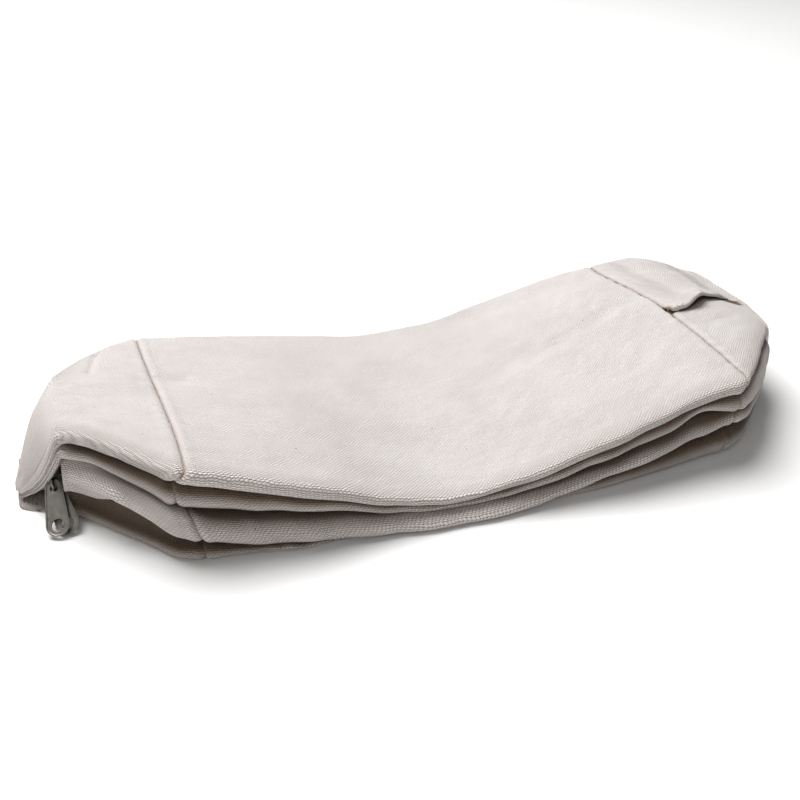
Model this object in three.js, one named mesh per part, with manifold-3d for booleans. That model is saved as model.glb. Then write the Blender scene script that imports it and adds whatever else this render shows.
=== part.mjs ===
import * as THREE from 'three';
import { mergeVertices } from 'three/addons/utils/BufferGeometryUtils.js';
import Module from 'manifold-3d';

const manifold = await Module();
manifold.setup();

// Driving sizes, in millimetres
const CLOTH = 1.2;
const SEAM_GAP = 0.8;
const SEAM_LEFT = -148;
const SEAM_RIGHT = 148;
const TIP_LEFT = -196;
const TIP_RIGHT = 204;
const TUCK_DEPTH = 46;
const SECOND_TUCK = 20;
const TIP_TUCK = 9;
const TUCK_OPENING = 2;
const ZIP_LINE = 24;
const ZIP_HEM_RISE = 2.7;
const ZIP_SHARE = 0.22;
const ZIP_LOWEST = 5.1;
const ZIP_HIGHEST = 9;
const ZIP_WIDTH = 6.6;
const ZIP_SETBACK = 1.6;
const TAPE = 1;
const COIL_WIDTH = 4;
const COIL_RISE = 1.4;
const TAB_LENGTH = 28.5;
const TAB_TOP_WIDTH = 7;
const TAB_WIDTH = 10;
const TAB_THICK = 1.2;
const TAB_TOP_HOLE = 3.6;
const TAB_LOW_HOLE = 5.6;
const TAB_HOLE_INSET = 4;
const TAB_STACK = 2.1;
const SLIDER_LENGTH = 9;
const SLIDER_WIDTH = 8.4;
const SLIDER_THICK = 4.4;
const BRIDGE_WIRE = 1.5;
const ZIP_TO_SLIDER = 1;
const TAB_HANG = 3;
const BRIDGE_SHIFT = 3.2;
const FLOOR = CLOTH / 2;
const BODY_ROWS = 24;
const END_ROWS = 7;
const HOOD_ROWS = 7;
const FLAP_ROWS = 3;
const CAP_ROWS = 7;
const FLAP_REACH = 26;
const LIP = 0.75;
const CAP_BULGE = 12;
const WALL_SHARES = [0.16, 0.33, 0.5, 0.67, 0.84];
const CREASE_RISE = 0.8;
const NOSE_LEAN = 1.5;
const PLEAT_STEP = 3;
const PLEAT_FOOT = 6;
const LAYERS_APART = 1.9;

// Stations along the bag: y, z and opening of the three front folds, how far the third one's top is
// rolled back and how deep the crease under it runs, the front of the lowest layer, the back fold,
// and how far the top is puffed up
const STATION_NAMES = [
  'x', 'y1', 'z1', 'g1', 'y2', 'z2', 'g2', 'y3', 'z3', 'g3', 'roll', 'deep', 'y4', 'z4',
  'yb', 'zb', 'gb', 'puff',
];
const STATIONS = named(STATION_NAMES, [
  [-196, -25, 51.5, 4.6, -25.5, 42, 6, -29, 34.3, 16.3, 8, 6, -26, 7, 41, 46, 5, 1],
  [-184, -35.5, 53, 6, -34.5, 43.5, 6, -41, 35.5, 17, 10, 13, -38, 6.2, 57, 44, 5.6, 2],
  [-172, -48, 53.5, 7, -46.5, 43, 8.4, -54, 33, 10.5, 9, 15, -51, 6, 70, 42, 6, 2],
  [-160, -61.5, 53, 7, -59, 42, 10.4, -67, 30, 10.5, 6.5, 15, -64, 6, 81, 39.5, 6, 2],
  [-148, -75, 53, 7.5, -73, 41.5, 12.4, -80, 27.5, 12.5, 4.5, 13, -77.5, 6.5, 88, 37, 6, 1],
  [-136, -80, 51, 8, -78, 40.5, 12, -83, 24, 12.5, 4.5, 11, -81.5, 6, 88, 35.5, 6, 0],
  [-113, -82.5, 44.6, 8, -80.5, 34, 10.2, -84.5, 19.5, 12.8, 4.5, 8, -84.5, 4.4, 88, 33, 6, 0],
  [-88, -86.5, 37.5, 7.6, -84, 27.6, 6.8, -88.5, 17, 12, 4.5, 6, -88, 2.6, 88, 29, 5, 0],
  [-66, -87, 29.2, 5.8, -85, 21.3, 5.4, -90.5, 13, 9.6, 4.5, 5, -86, 1.2, 87, 25.5, 4, 0],
  [-45, -87.5, 21, 4.2, -86, 15, 4.2, -92.5, 9.2, 7, 4.5, 4, -86, 0.8, 86, 22, 3, 0],
  [-9, -89, 14.4, 2.5, -88, 10.3, 2.5, -95.5, 6.2, 4.6, 4.5, 3, -90, 0.7, 84, 18, 2.2, -1],
  [28, -90.5, 20.6, 4, -89, 15, 5, -94.5, 8.4, 5.8, 4.5, 5, -87, 0.8, 85, 18.5, 2.4, -1],
  [66, -91, 31, 5, -88.5, 23.2, 6.2, -91.5, 14.4, 6, 4.5, 8, -89.5, 5.5, 90, 24, 4, 0],
  [110, -87.5, 41.5, 5.6, -85, 33, 8.4, -87, 21.5, 7.4, 4.5, 12, -85.5, 9, 92, 33, 5, 1],
  [130, -85, 45.6, 5.7, -84, 38.2, 3.4, -84.5, 27.5, 9.6, 4.5, 13, -83, 11, 90, 38, 5.6, 2],
  [150, -84.5, 48.3, 5.6, -83.5, 41, 11.4, -82, 28, 6.5, 4.5, 13, -80.5, 12, 87, 42, 6, 2],
  [162, -76, 48.5, 5.3, -79, 41.5, 12.4, -79, 27.5, 7, 4.5, 12, -76.5, 12, 86, 44, 6, 2],
  [176, -62, 48, 5, -68.5, 41.3, 13, -68, 26.7, 7.2, 4.5, 10, -65, 12, 84, 46, 6, 2],
  [190, -45.5, 47, 4.4, -54, 40, 12.3, -53, 26, 7.5, 4.5, 8, -50.5, 11.5, 73, 46, 5.6, 2],
  [204, -30, 45.5, 3.4, -36, 37.5, 10.6, -35, 25.3, 7.8, 4.5, 5, -33, 11, 54, 45, 5, 2],
]);

// The overlapped pleat across the right end: its edge, how far it laps, how high it stands, and how
// far it is let out flat again toward the tip
const PLEAT = named(['x', 'edge', 'lap', 'rise', 'flat'], [
  [148, 0.5, 3, 4.2, 0],
  [157, 0, 5, 4.4, 0],
  [167, 2.5, 9, 8.6, 0],
  [178, 7, 10, 5.6, 0],
  [190, 7, 8, 4.4, 0],
  [204, 5, 3, 3, 1],
]);

// How far the seams and the left edge are drawn along the bag at the wall and at each layer below it
const SEAM_PULL = {
  wall: { left: 7.3, right: 10, tip: 0 },
  fold1: { left: 0.7, right: 5, tip: 0 },
  fold2: { left: 1, right: 6, tip: 0 },
  fold3: { left: 7, right: 6, tip: -1 },
  fold3Under: { left: 11, right: 5, tip: -2 },
  lowest: { left: 11, right: 3, tip: -0.5 },
};

// The turned-down hood of the left end: front edge, middle and back edge at three levels
const HOOD = [
  { front: [-201.8, -22.8, 29.7], middle: [-207.5, 6, 40], back: [-203, 43, 33] },
  { front: [-210.4, -13.6, 13.8], middle: [-216, 8, 23], back: [-207, 42, 19] },
  { front: [-221.5, -4, 3.4], middle: [-222, 14, 5], back: [-211, 40, 5] },
];

// The zip's way: inside the back tuck, round the left tip under the hood, then up into its mouth
const ZIP_TURN = [
  { x: -197, y: 24, z: 8.8 },
  { x: -206, y: 25, z: 7.2 },
  { x: -211.5, y: 20.5, z: 5.6 },
  { x: -213, y: 12, z: 5 },
  { x: -211.5, y: 3.5, z: 5.6 },
  { x: -206.4, y: -3.4, z: 8.4 },
];

// Rows of figures as objects with named columns
function named(names, rows) {
  return rows.map((row) => Object.fromEntries(names.map((name, k) => [name, row[k]])));
}

const clamp = (v, lo, hi) => Math.min(hi, Math.max(lo, v));
const lerp = (a, b, t) => a + (b - a) * t;
const easeBetween = (v, lo, hi) => {
  const t = clamp((v - lo) / (hi - lo), 0, 1);
  return t * t * (3 - 2 * t);
};

// One column of a table at any x, as a smooth curve that keeps inside its figures
function read(rows, key, x) {
  const last = rows.length - 1;
  let i = 0;
  while (i < last - 1 && x > rows[i + 1].x) i += 1;
  const a = rows[i];
  const b = rows[i + 1];
  const step = b.x - a.x;
  const t = clamp((x - a.x) / step, 0, 1);
  const rate = (p, q) => (q[key] - p[key]) / (q.x - p.x);
  const tangent = (k) => {
    if (k === 0) return rate(rows[0], rows[1]);
    if (k === last) return rate(rows[last - 1], rows[last]);
    const u = rate(rows[k - 1], rows[k]);
    const v = rate(rows[k], rows[k + 1]);
    return u * v <= 0 ? 0 : (2 * u * v) / (u + v);
  };
  const t2 = t * t;
  const t3 = t2 * t;
  const start = (2 * t3 - 3 * t2 + 1) * a[key] + (t3 - 2 * t2 + t) * step * tangent(i);
  return start + (3 * t2 - 2 * t3) * b[key] + (t3 - t2) * step * tangent(i + 1);
}

// Soft unevenness of the top, as slow waves
function topUnevenness(x, y) {
  return 0.5 * Math.sin(x / 19 + y / 31) + 0.4 * Math.sin(y / 17 - x / 43 + 1.3);
}

// The pull of one layer grows toward a seam and fades again within the end panel
function pull(x, layer) {
  const { left, right, tip } = SEAM_PULL[layer];
  const toLeft = left * easeBetween(-x, 60, 148) * (1 - easeBetween(-x, 150, 190));
  const toRight = right * easeBetween(x, 50, 148) * (1 - easeBetween(x, 165, 204));
  return toLeft + toRight + tip * easeBetween(-x, 180, 196);
}

function wallPull(x, y) {
  return pull(x, 'wall') * (1 - (x > 0 ? easeBetween(y, 15, 75) : easeBetween(y, -60, 90)));
}

// The zip lies low in the back tuck, higher where the bag is thicker
function zipHeight(x) {
  return clamp(ZIP_SHARE * read(STATIONS, 'zb', x), ZIP_LOWEST, ZIP_HIGHEST);
}

// The upper wall from back to front; past the right seam it laps over itself in one pleat
function wallCorners(x) {
  const [yb, zb, puff] = ['yb', 'zb', 'puff'].map((key) => read(STATIONS, key, x));
  const [y1, z1] = ['y1', 'z1'].map((key) => read(STATIONS, key, x + pull(x, 'wall')));
  const corner = (name, y, up, n) => {
    const s = (yb - y) / (yb - y1);
    const z = lerp(zb, z1, s) + 4 * s * (1 - s) * puff + topUnevenness(x, y) + up;
    return { name, y, z, n, along: wallPull(x, y) };
  };
  if (x <= SEAM_RIGHT) {
    return WALL_SHARES.map((s) => corner('wall', lerp(yb, y1, s), 0, 2));
  }
  const [edge, lap, rise, flat] = ['edge', 'lap', 'rise', 'flat'].map((key) => read(PLEAT, key, x));
  const pleat = (overlap, steps, up, n) => {
    return corner('pleat', lerp(edge + overlap, edge + steps * PLEAT_STEP, flat), up * (1 - flat), n);
  };
  const front = edge - 2 * PLEAT_STEP * flat;
  return [
    ...WALL_SHARES.slice(0, 2).map((s) => corner('wall', lerp(yb, y1, s), 0, 2)),
    pleat(lap + PLEAT_FOOT, 3, 0.3, 2),
    pleat(lap, 2, rise - 0.4, 2),
    pleat(0, 1, rise, 3),
    pleat(0, 0, rise - LAYERS_APART, 3),
    pleat(lap, -1, LAYERS_APART, 2),
    pleat(lap, -2, 0.1, 2),
    corner('wall', lerp(front, lerp(yb, y1, WALL_SHARES[3]), 0.5), 0, 2),
    ...WALL_SHARES.slice(3).map((s) => corner('wall', lerp(yb, y1, s), 0, 2)),
  ];
}

// Turning points of one cross section, from the upper zip hem round the front to the lower zip hem:
// y, z, the number of points round each, and how far it is drawn along the bag
function sectionCorners(x) {
  const [yb, zb, gb] = ['yb', 'zb', 'gb'].map((key) => read(STATIONS, key, x));
  const pulls = Object.keys(SEAM_PULL).map((layer) => pull(x, layer));
  const [pull0, pull1, pull2, pull3, pull3Under, pull4] = pulls;
  const [y1, z1] = ['y1', 'z1'].map((key) => read(STATIONS, key, x + pull0));
  const y1Under = read(STATIONS, 'y1', x + pull1);
  const under1 = read(STATIONS, 'z1', x + pull1) - read(STATIONS, 'g1', x + pull1);
  const [y2, z2, g2] = ['y2', 'z2', 'g2'].map((key) => read(STATIONS, key, x + pull2));
  const [y3, z3, roll, deep] = ['y3', 'z3', 'roll', 'deep'].map((key) => read(STATIONS, key, x + pull3));
  const y3Under = read(STATIONS, 'y3', x + pull3Under);
  const under3 = read(STATIONS, 'z3', x + pull3Under) - read(STATIONS, 'g3', x + pull3Under);
  const [y4, z4] = ['y4', 'z4'].map((key) => read(STATIONS, key, x + pull4));
  const under2 = z2 - g2;
  const left = clamp((x - SEAM_LEFT) / (TIP_LEFT - SEAM_LEFT), 0, 1);
  const end = Math.max(left, clamp((x - SEAM_RIGHT) / (TIP_RIGHT - SEAM_RIGHT), 0, 1));
  const open = 1 - easeBetween(left, 0.86, 0.98);
  const inner1 = Math.max(y1Under, y2) + lerp(TUCK_DEPTH, TIP_TUCK, end) * open + 0.3;
  const inner2 = Math.max(y2, y3) + lerp(SECOND_TUCK, TIP_TUCK, end);
  const middle1 = (under1 + z2) / 2;
  const middle2 = (under2 + z3) / 2;
  const half1 = Math.min(TUCK_OPENING, under1 - z2) / 2;
  const half2 = Math.min(TUCK_OPENING, under2 - z3) / 2;
  const creaseY = y3Under + deep;
  const creaseZ = lerp(z4, under3, CREASE_RISE);
  const backZ = lerp(z4, creaseZ, 0.25);
  const zip = zipHeight(x);
  const underside = (s) => {
    return { name: 'underside', y: lerp(y4, yb, s), z: FLOOR, n: 2, along: pull4 * (1 - s) };
  };
  return [
    { name: 'zip hem', y: ZIP_LINE, z: zip + ZIP_HEM_RISE, n: 1, along: 0 },
    { name: 'upper zip strip', y: ZIP_LINE + 9, z: zip + ZIP_HEM_RISE + 0.5, n: 2, along: 0 },
    { name: 'upper zip strip', y: yb - 12, z: zb - gb - 1, n: 2, along: 0 },
    { name: 'back nose', y: yb, z: zb - gb, n: 3, along: 0 },
    { name: 'back nose top', y: yb, z: zb, n: 3, along: wallPull(x, yb) },
    ...wallCorners(x),
    { name: 'fold 1 top', y: y1, z: z1, n: 4, along: pull0 },
    { name: 'fold 1 under', y: y1Under, z: under1, n: 4, along: pull1 },
    { name: 'tuck 1', y: inner1, z: middle1 + half1, n: 2, along: pull1 },
    { name: 'tuck 1', y: inner1, z: middle1 - half1, n: 2, along: pull2 },
    { name: 'fold 2 top', y: y2, z: z2, n: 3, along: pull2 },
    { name: 'fold 2 under', y: y2, z: under2, n: 3, along: pull2 },
    { name: 'tuck 2', y: inner2, z: middle2 + half2, n: 2, along: lerp(pull2, pull3, 0.47) },
    { name: 'tuck 2', y: inner2, z: middle2 - half2, n: 2, along: lerp(pull2, pull3, 0.53) },
    { name: 'fold 3 top', y: y3 + roll, z: z3, n: 3, along: pull3 },
    { name: 'fold 3 front', y: y3, z: lerp(z3, under3, 0.5), n: 3, along: (pull3 + pull3Under) / 2 },
    { name: 'fold 3 under', y: y3Under + 1, z: under3, n: 3, along: pull3Under },
    { name: 'crease', y: creaseY, z: creaseZ, n: 2, along: pull4 },
    { name: 'lowest fold back', y: lerp(creaseY, y4, 0.3), z: backZ, n: 2, along: pull4 },
    { name: 'lowest fold top', y: y4, z: z4, n: 3, along: pull4 },
    { name: 'lowest fold under', y: y4 + NOSE_LEAN, z: FLOOR, n: 3, along: pull4 },
    ...[0.25, 0.5, 0.75].map(underside),
    { name: 'back nose low', y: yb, z: FLOOR, n: 3, along: 0 },
    { name: 'back nose', y: yb, z: FLOOR + Math.min(gb, 4), n: 3, along: 0 },
    { name: 'lower zip strip', y: ZIP_LINE + 12, z: zip - ZIP_HEM_RISE, n: 2, along: 0 },
    { name: 'zip hem', y: ZIP_LINE, z: zip - ZIP_HEM_RISE, n: 1, along: 0 },
  ];
}

// Points of a cross section: each turning point is rounded off as far as its neighbours allow
function sectionPoints(x) {
  const corners = sectionCorners(x);
  const turns = corners.map(({ y, z, along }) => new THREE.Vector3(x + along, y, z));
  const points = [];
  turns.forEach((turn, k) => {
    if (k === 0 || k === turns.length - 1) {
      points.push(turn);
      return;
    }
    const before = turns[k - 1].clone().sub(turn);
    const beyond = turns[k + 1].clone().sub(turn);
    const reach = 0.5 * Math.min(before.length(), beyond.length());
    before.setLength(reach);
    beyond.setLength(reach);
    for (let i = 0; i < corners[k].n; i += 1) {
      const t = (i + 0.5) / corners[k].n;
      points.push(turn.clone().addScaledVector(before, (1 - t) ** 2).addScaledVector(beyond, t ** 2));
    }
  });
  return points;
}

// Column numbers that belong to a run of named turning points in the sections near x
function columnRange(x, firstName, lastName) {
  const corners = sectionCorners(x);
  const first = corners.findIndex((corner) => corner.name === firstName);
  const last = corners.map((corner) => corner.name).lastIndexOf(lastName);
  const count = (list) => list.reduce((sum, corner) => sum + corner.n, 0);
  return { from: count(corners.slice(0, first)), to: count(corners.slice(0, last + 1)) - 1 };
}

// A cloth solid: a sheet of faces given half its thickness to each side, its free edges closed;
// at a seam the thickness lies square to the bag's length
function clothSolid(points, faces, thickness, seams) {
  const normals = points.map(() => new THREE.Vector3());
  faces.forEach((face) => {
    const across = points[face[2]].clone().sub(points[face[0]]);
    const other = points[face.at(-1)].clone().sub(points[face[1]]);
    const normal = across.cross(other);
    face.forEach((k) => normals[k].add(normal));
  });
  seams.flat().forEach((k) => normals[k].setX(0));
  normals.forEach((normal) => normal.normalize());
  const count = points.length;
  const position = [];
  [1, -1].forEach((side) => {
    points.forEach((point, k) => {
      const moved = point.clone().addScaledVector(normals[k], (side * thickness) / 2);
      position.push(moved.x, moved.y, moved.z);
    });
  });
  const index = [];
  const edges = new Map();
  faces.forEach((face) => {
    for (let k = 1; k < face.length - 1; k += 1) {
      const [a, b, c] = [face[0], face[k], face[k + 1]];
      index.push(a, b, c, count + a, count + c, count + b);
    }
    face.forEach((p, k) => {
      const q = face[(k + 1) % face.length];
      const back = `${q} ${p}`;
      if (edges.has(back)) edges.delete(back);
      else edges.set(`${p} ${q}`, [p, q]);
    });
  });
  edges.forEach(([p, q]) => {
    index.push(p, count + p, count + q, p, count + q, q);
  });
  return geometryOf(position, index);
}

function geometryOf(position, index) {
  const geometry = new THREE.BufferGeometry();
  geometry.setAttribute('position', new THREE.Float32BufferAttribute(position, 3));
  geometry.setIndex(index);
  geometry.computeVertexNormals();
  return geometry;
}

// Quads between rows of equal length, for the columns from one to another
function quadsBetween(rows, from, to) {
  const quads = [];
  for (let r = 0; r < rows.length - 1; r += 1) {
    for (let c = from; c < to; c += 1) {
      quads.push([rows[r][c], rows[r + 1][c], rows[r + 1][c + 1], rows[r][c + 1]]);
    }
  }
  return quads;
}

// Triangles between two rows that needn't be equally long
function trianglesBetween(row, other) {
  const triangles = [];
  let i = 0;
  let k = 0;
  while (i < row.length - 1 || k < other.length - 1) {
    if (i / (row.length - 1) <= k / (other.length - 1)) {
      triangles.push([row[i], other[k], row[i + 1]]);
      i += 1;
    } else {
      triangles.push([row[i], other[k], other[k + 1]]);
      k += 1;
    }
  }
  return triangles;
}

// Rows of cross sections from one x to another, added to a list of points
function sweepRows(points, fromX, toX, count) {
  const rows = [];
  for (let r = 0; r <= count; r += 1) {
    const x = lerp(fromX, toX, r / count);
    const row = sectionPoints(x).map((point) => points.push(point) - 1);
    rows.push(row);
  }
  return rows;
}

function bodyCloth() {
  const points = [];
  const rows = sweepRows(points, SEAM_LEFT, SEAM_RIGHT, BODY_ROWS);
  return clothSolid(points, quadsBetween(rows, 0, rows[0].length - 1), CLOTH, [rows[0], rows.at(-1)]);
}

// A point on the hood between its front edge, middle and back edge
function hoodPoint(level, across) {
  const row = HOOD[level];
  const front = new THREE.Vector3(...row.front);
  const middle = new THREE.Vector3(...row.middle);
  const back = new THREE.Vector3(...row.back);
  const weights = [2 * (across - 0.5) * (across - 1), 4 * across * (1 - across), 2 * across * (across - 0.5)];
  front.multiplyScalar(weights[0]);
  return front.addScaledVector(middle, weights[1]).addScaledVector(back, weights[2]);
}

// How far each column of the hood lies from its front edge, as a share; the closed tuck takes little
function hoodShares(points, tip, top, front) {
  const tuck = columnRange(TIP_LEFT, 'tuck 1', 'tuck 1');
  const reached = [0];
  for (let c = top + 1; c <= front; c += 1) {
    const closed = c >= tuck.from && c <= tuck.to + 1;
    reached.push(reached.at(-1) + (closed ? 0.3 : points[tip[c]].distanceTo(points[tip[c - 1]])));
  }
  return reached.map((length) => 1 - length / reached.at(-1));
}

// Left end panel: folded out flat, its tip turned down as a hood over the zip with a rolled front lip,
// the lower half on the floor
function leftEndPanel() {
  const points = [];
  const rows = sweepRows(points, TIP_LEFT, SEAM_LEFT - SEAM_GAP, END_ROWS);
  const quads = quadsBetween(rows, 0, rows[0].length - 1);
  const tip = rows[0];
  const top = columnRange(TIP_LEFT, 'back nose top', 'fold 1 top');
  const face = columnRange(TIP_LEFT, 'fold 1 under', 'fold 2 top');
  const lip = columnRange(TIP_LEFT, 'fold 2 under', 'fold 2 under');
  const shares = hoodShares(points, tip, top.from, face.to);
  const hoodRows = [tip];
  for (let r = 1; r <= HOOD_ROWS; r += 1) {
    const out = r / HOOD_ROWS;
    const row = [];
    for (let c = top.from; c <= face.to; c += 1) {
      const start = points[tip[c]];
      const level = Math.min(c, top.to);
      const before = start.clone().add(points[rows[1][level]]).sub(points[tip[level]]);
      const stops = HOOD.map((unused, k) => hoodPoint(k, shares[c - top.from]));
      const curve = new THREE.CatmullRomCurve3([before, start, ...stops], false, 'catmullrom', 0.5);
      row[c] = points.push(curve.getPoint(lerp(1 / 4, 1, out))) - 1;
    }
    const edge = points[row[face.to]];
    const forward = edge.clone().sub(points[row[face.to - 1]]).normalize();
    const outward = edge.clone().sub(points[hoodRows.at(-1)[face.to]]).normalize();
    const proud = forward.clone().cross(outward).normalize();
    if (proud.z < 0) proud.negate();
    for (let c = lip.from; c <= lip.to; c += 1) {
      const turn = (Math.PI * (c - lip.from + 1)) / (lip.to - lip.from + 1);
      const own = points[tip[c]].clone().sub(points[tip[face.to]]);
      const rolled = forward.clone().multiplyScalar(LIP * Math.sin(turn));
      rolled.addScaledVector(proud, -LIP * (1 - Math.cos(turn)));
      row[c] = points.push(own.lerp(rolled, easeBetween(out, 0, 0.3)).add(edge)) - 1;
    }
    hoodRows.push(row);
  }
  quads.push(...quadsBetween(hoodRows.reverse(), top.from, lip.to));
  const low = columnRange(TIP_LEFT, 'lowest fold under', 'back nose low');
  const flapRows = [tip];
  for (let r = 1; r <= FLAP_ROWS; r += 1) {
    const out = r / FLAP_ROWS;
    const row = [];
    for (let c = low.from; c <= low.to; c += 1) {
      const start = points[tip[c]];
      const reach = FLAP_REACH * easeBetween((c - low.from) / (low.to - low.from), -0.15, 0.24);
      const y = lerp(start.y, 12 + (start.y - 12) * 0.8, out);
      const z = lerp(start.z, FLOOR + 0.1, easeBetween(out, 0, 0.7));
      row[c] = points.push(new THREE.Vector3(start.x - reach * out, y, z)) - 1;
    }
    flapRows.push(row);
  }
  quads.push(...quadsBetween(flapRows.reverse(), low.from, low.to));
  return clothSolid(points, quads, CLOTH, [rows.at(-1)]);
}

// Right end panel: folded out, its tip a rounded cap from the top layer down to the lower one
function rightEndPanel() {
  const points = [];
  const rows = sweepRows(points, SEAM_RIGHT + SEAM_GAP, TIP_RIGHT, END_ROWS);
  const faces = quadsBetween(rows, 0, rows[0].length - 1);
  const tip = rows.at(-1);
  const top = columnRange(TIP_RIGHT, 'back nose top', 'fold 1 top');
  const low = columnRange(TIP_RIGHT, 'lowest fold under', 'back nose low');
  const width = top.to - top.from;
  const upperEdge = tip.slice(top.from, top.to + 1);
  const lowerEdge = tip.slice(low.from, low.to + 1).reverse();
  const capRows = [upperEdge];
  for (let r = 1; r < CAP_ROWS; r += 1) {
    const down = r / CAP_ROWS;
    const row = upperEdge.map((upper, k) => {
      const place = (k / width) * (lowerEdge.length - 1);
      const near = Math.min(Math.floor(place), lowerEdge.length - 2);
      const lower = points[lowerEdge[near]].clone().lerp(points[lowerEdge[near + 1]], place - near);
      const point = points[upper].clone().lerp(lower, (1 - Math.cos(Math.PI * down)) / 2);
      const across = Math.max(Math.sin((Math.PI * k) / width), 0) ** 0.65;
      point.x += CAP_BULGE * across * Math.sin(Math.PI * down) ** 0.6;
      return points.push(point) - 1;
    });
    capRows.push(row);
  }
  faces.push(...quadsBetween(capRows, 0, width));
  faces.push(...trianglesBetween(capRows.at(-1), lowerEdge));
  return clothSolid(points, faces, CLOTH, [rows[0]]);
}

// Where the slider sits: in the hood's mouth, its face turned up and to the front, the tabs hanging
// down it; the zip ends beside it
const TAB_PIVOT = new THREE.Vector3(-202.9, -21.9, 17);
const HANG = new THREE.Vector3(-0.029, -0.803, -0.596).normalize();
const FAN = new THREE.Vector3(0.18, -0.82, -0.55).normalize();
const FACE = new THREE.Vector3().crossVectors(HANG, FAN).normalize();
const SLIDE = new THREE.Vector3().crossVectors(FACE, HANG).normalize();
const BRIDGE_FOOT = TAB_PIVOT.clone().addScaledVector(HANG, -TAB_HANG).addScaledVector(FACE, -holeRise(1));
const SLIDER_CENTRE = BRIDGE_FOOT.clone().addScaledVector(SLIDE, BRIDGE_SHIFT);
const ZIP_END = SLIDER_CENTRE.clone().addScaledVector(SLIDE, -SLIDER_LENGTH / 2 - ZIP_TO_SLIDER);

// The zip's way from the right seam to its end in the mouth of the hood
function zipWay() {
  const way = [];
  const straight = 16;
  for (let r = 0; r <= straight; r += 1) {
    const x = lerp(SEAM_RIGHT - 4, -188, r / straight);
    way.push(new THREE.Vector3(x, ZIP_LINE - ZIP_SETBACK, zipHeight(x)));
  }
  ZIP_TURN.forEach(({ x, y, z }) => way.push(new THREE.Vector3(x, y - ZIP_SETBACK, z)));
  way.push(ZIP_END);
  return way;
}

// Zip: tape with its coil proud on the outer side, swept along the zip line
function zip() {
  const curve = new THREE.CatmullRomCurve3(zipWay(), false, 'centripetal');
  const half = ZIP_WIDTH / 2;
  const coil = COIL_WIDTH / 2;
  const profile = [
    [TAPE / 2, half],
    [-TAPE / 2, half],
    [-TAPE / 2, -half],
    [TAPE / 2, -half],
    [TAPE / 2, -coil],
    [TAPE / 2 + COIL_RISE, -coil * 0.6],
    [TAPE / 2 + COIL_RISE, coil * 0.6],
    [TAPE / 2, coil],
  ];
  const steps = 40;
  const position = [];
  for (let r = 0; r <= steps; r += 1) {
    const point = curve.getPointAt(r / steps);
    const along = curve.getTangentAt(r / steps);
    const outward = new THREE.Vector3(0, 0, 1).cross(along).negate().normalize();
    const up = outward.clone().cross(along).normalize();
    if (up.z < 0) up.negate();
    profile.forEach(([out, rise]) => {
      const moved = point.clone().addScaledVector(outward, out).addScaledVector(up, rise);
      position.push(moved.x, moved.y, moved.z);
    });
  }
  const n = profile.length;
  const index = [];
  for (let r = 0; r < steps; r += 1) {
    for (let k = 0; k < n; k += 1) {
      const next = (k + 1) % n;
      const a = r * n + k;
      const b = r * n + next;
      index.push(a, a + n, b + n, a, b + n, b);
    }
  }
  [0, steps].forEach((r) => {
    const centre = position.length / 3;
    const point = curve.getPointAt(r / steps);
    position.push(point.x, point.y, point.z);
    for (let k = 0; k < n; k += 1) {
      const a = r * n + k;
      const b = r * n + ((k + 1) % n);
      if (r === 0) index.push(centre, a, b);
      else index.push(centre, b, a);
    }
  });
  return geometryOf(position, index);
}

// How far the middle of a tab's top hole stands off the slider's face
function holeRise(layer) {
  return SLIDER_THICK / 2 + TAB_THICK / 2 + 0.4 + layer * TAB_STACK;
}

function tabHoleCentre(layer) {
  return BRIDGE_FOOT.clone().addScaledVector(HANG, TAB_HANG).addScaledVector(FACE, holeRise(layer));
}

// A solid for joining, from a closed geometry
function solidOf(geometry) {
  const bare = geometry.clone();
  bare.deleteAttribute('normal');
  bare.deleteAttribute('uv');
  const merged = mergeVertices(bare.index ? bare.toNonIndexed() : bare, 1e-4);
  const mesh = new manifold.Mesh({
    numProp: 3,
    vertProperties: merged.attributes.position.array,
    triVerts: new Uint32Array(merged.index.array),
  });
  return new manifold.Manifold(mesh);
}

function placed(geometry, centre, xAxis, yAxis, zAxis) {
  const frame = new THREE.Matrix4().makeBasis(xAxis, yAxis, zAxis).setPosition(centre);
  return geometry.applyMatrix4(frame);
}

// A rounded outline, longer than wide, narrowed a little toward its far end
function roundedShape(length, nearWidth, farWidth) {
  const near = nearWidth / 2;
  const far = farWidth / 2;
  const shape = new THREE.Shape();
  shape.moveTo(near, -near);
  shape.lineTo(length - far, -far);
  shape.absarc(length - far, 0, far, -Math.PI / 2, Math.PI / 2, false);
  shape.lineTo(near, near);
  shape.absarc(near, 0, near, Math.PI / 2, (3 * Math.PI) / 2, false);
  return shape;
}

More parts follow.
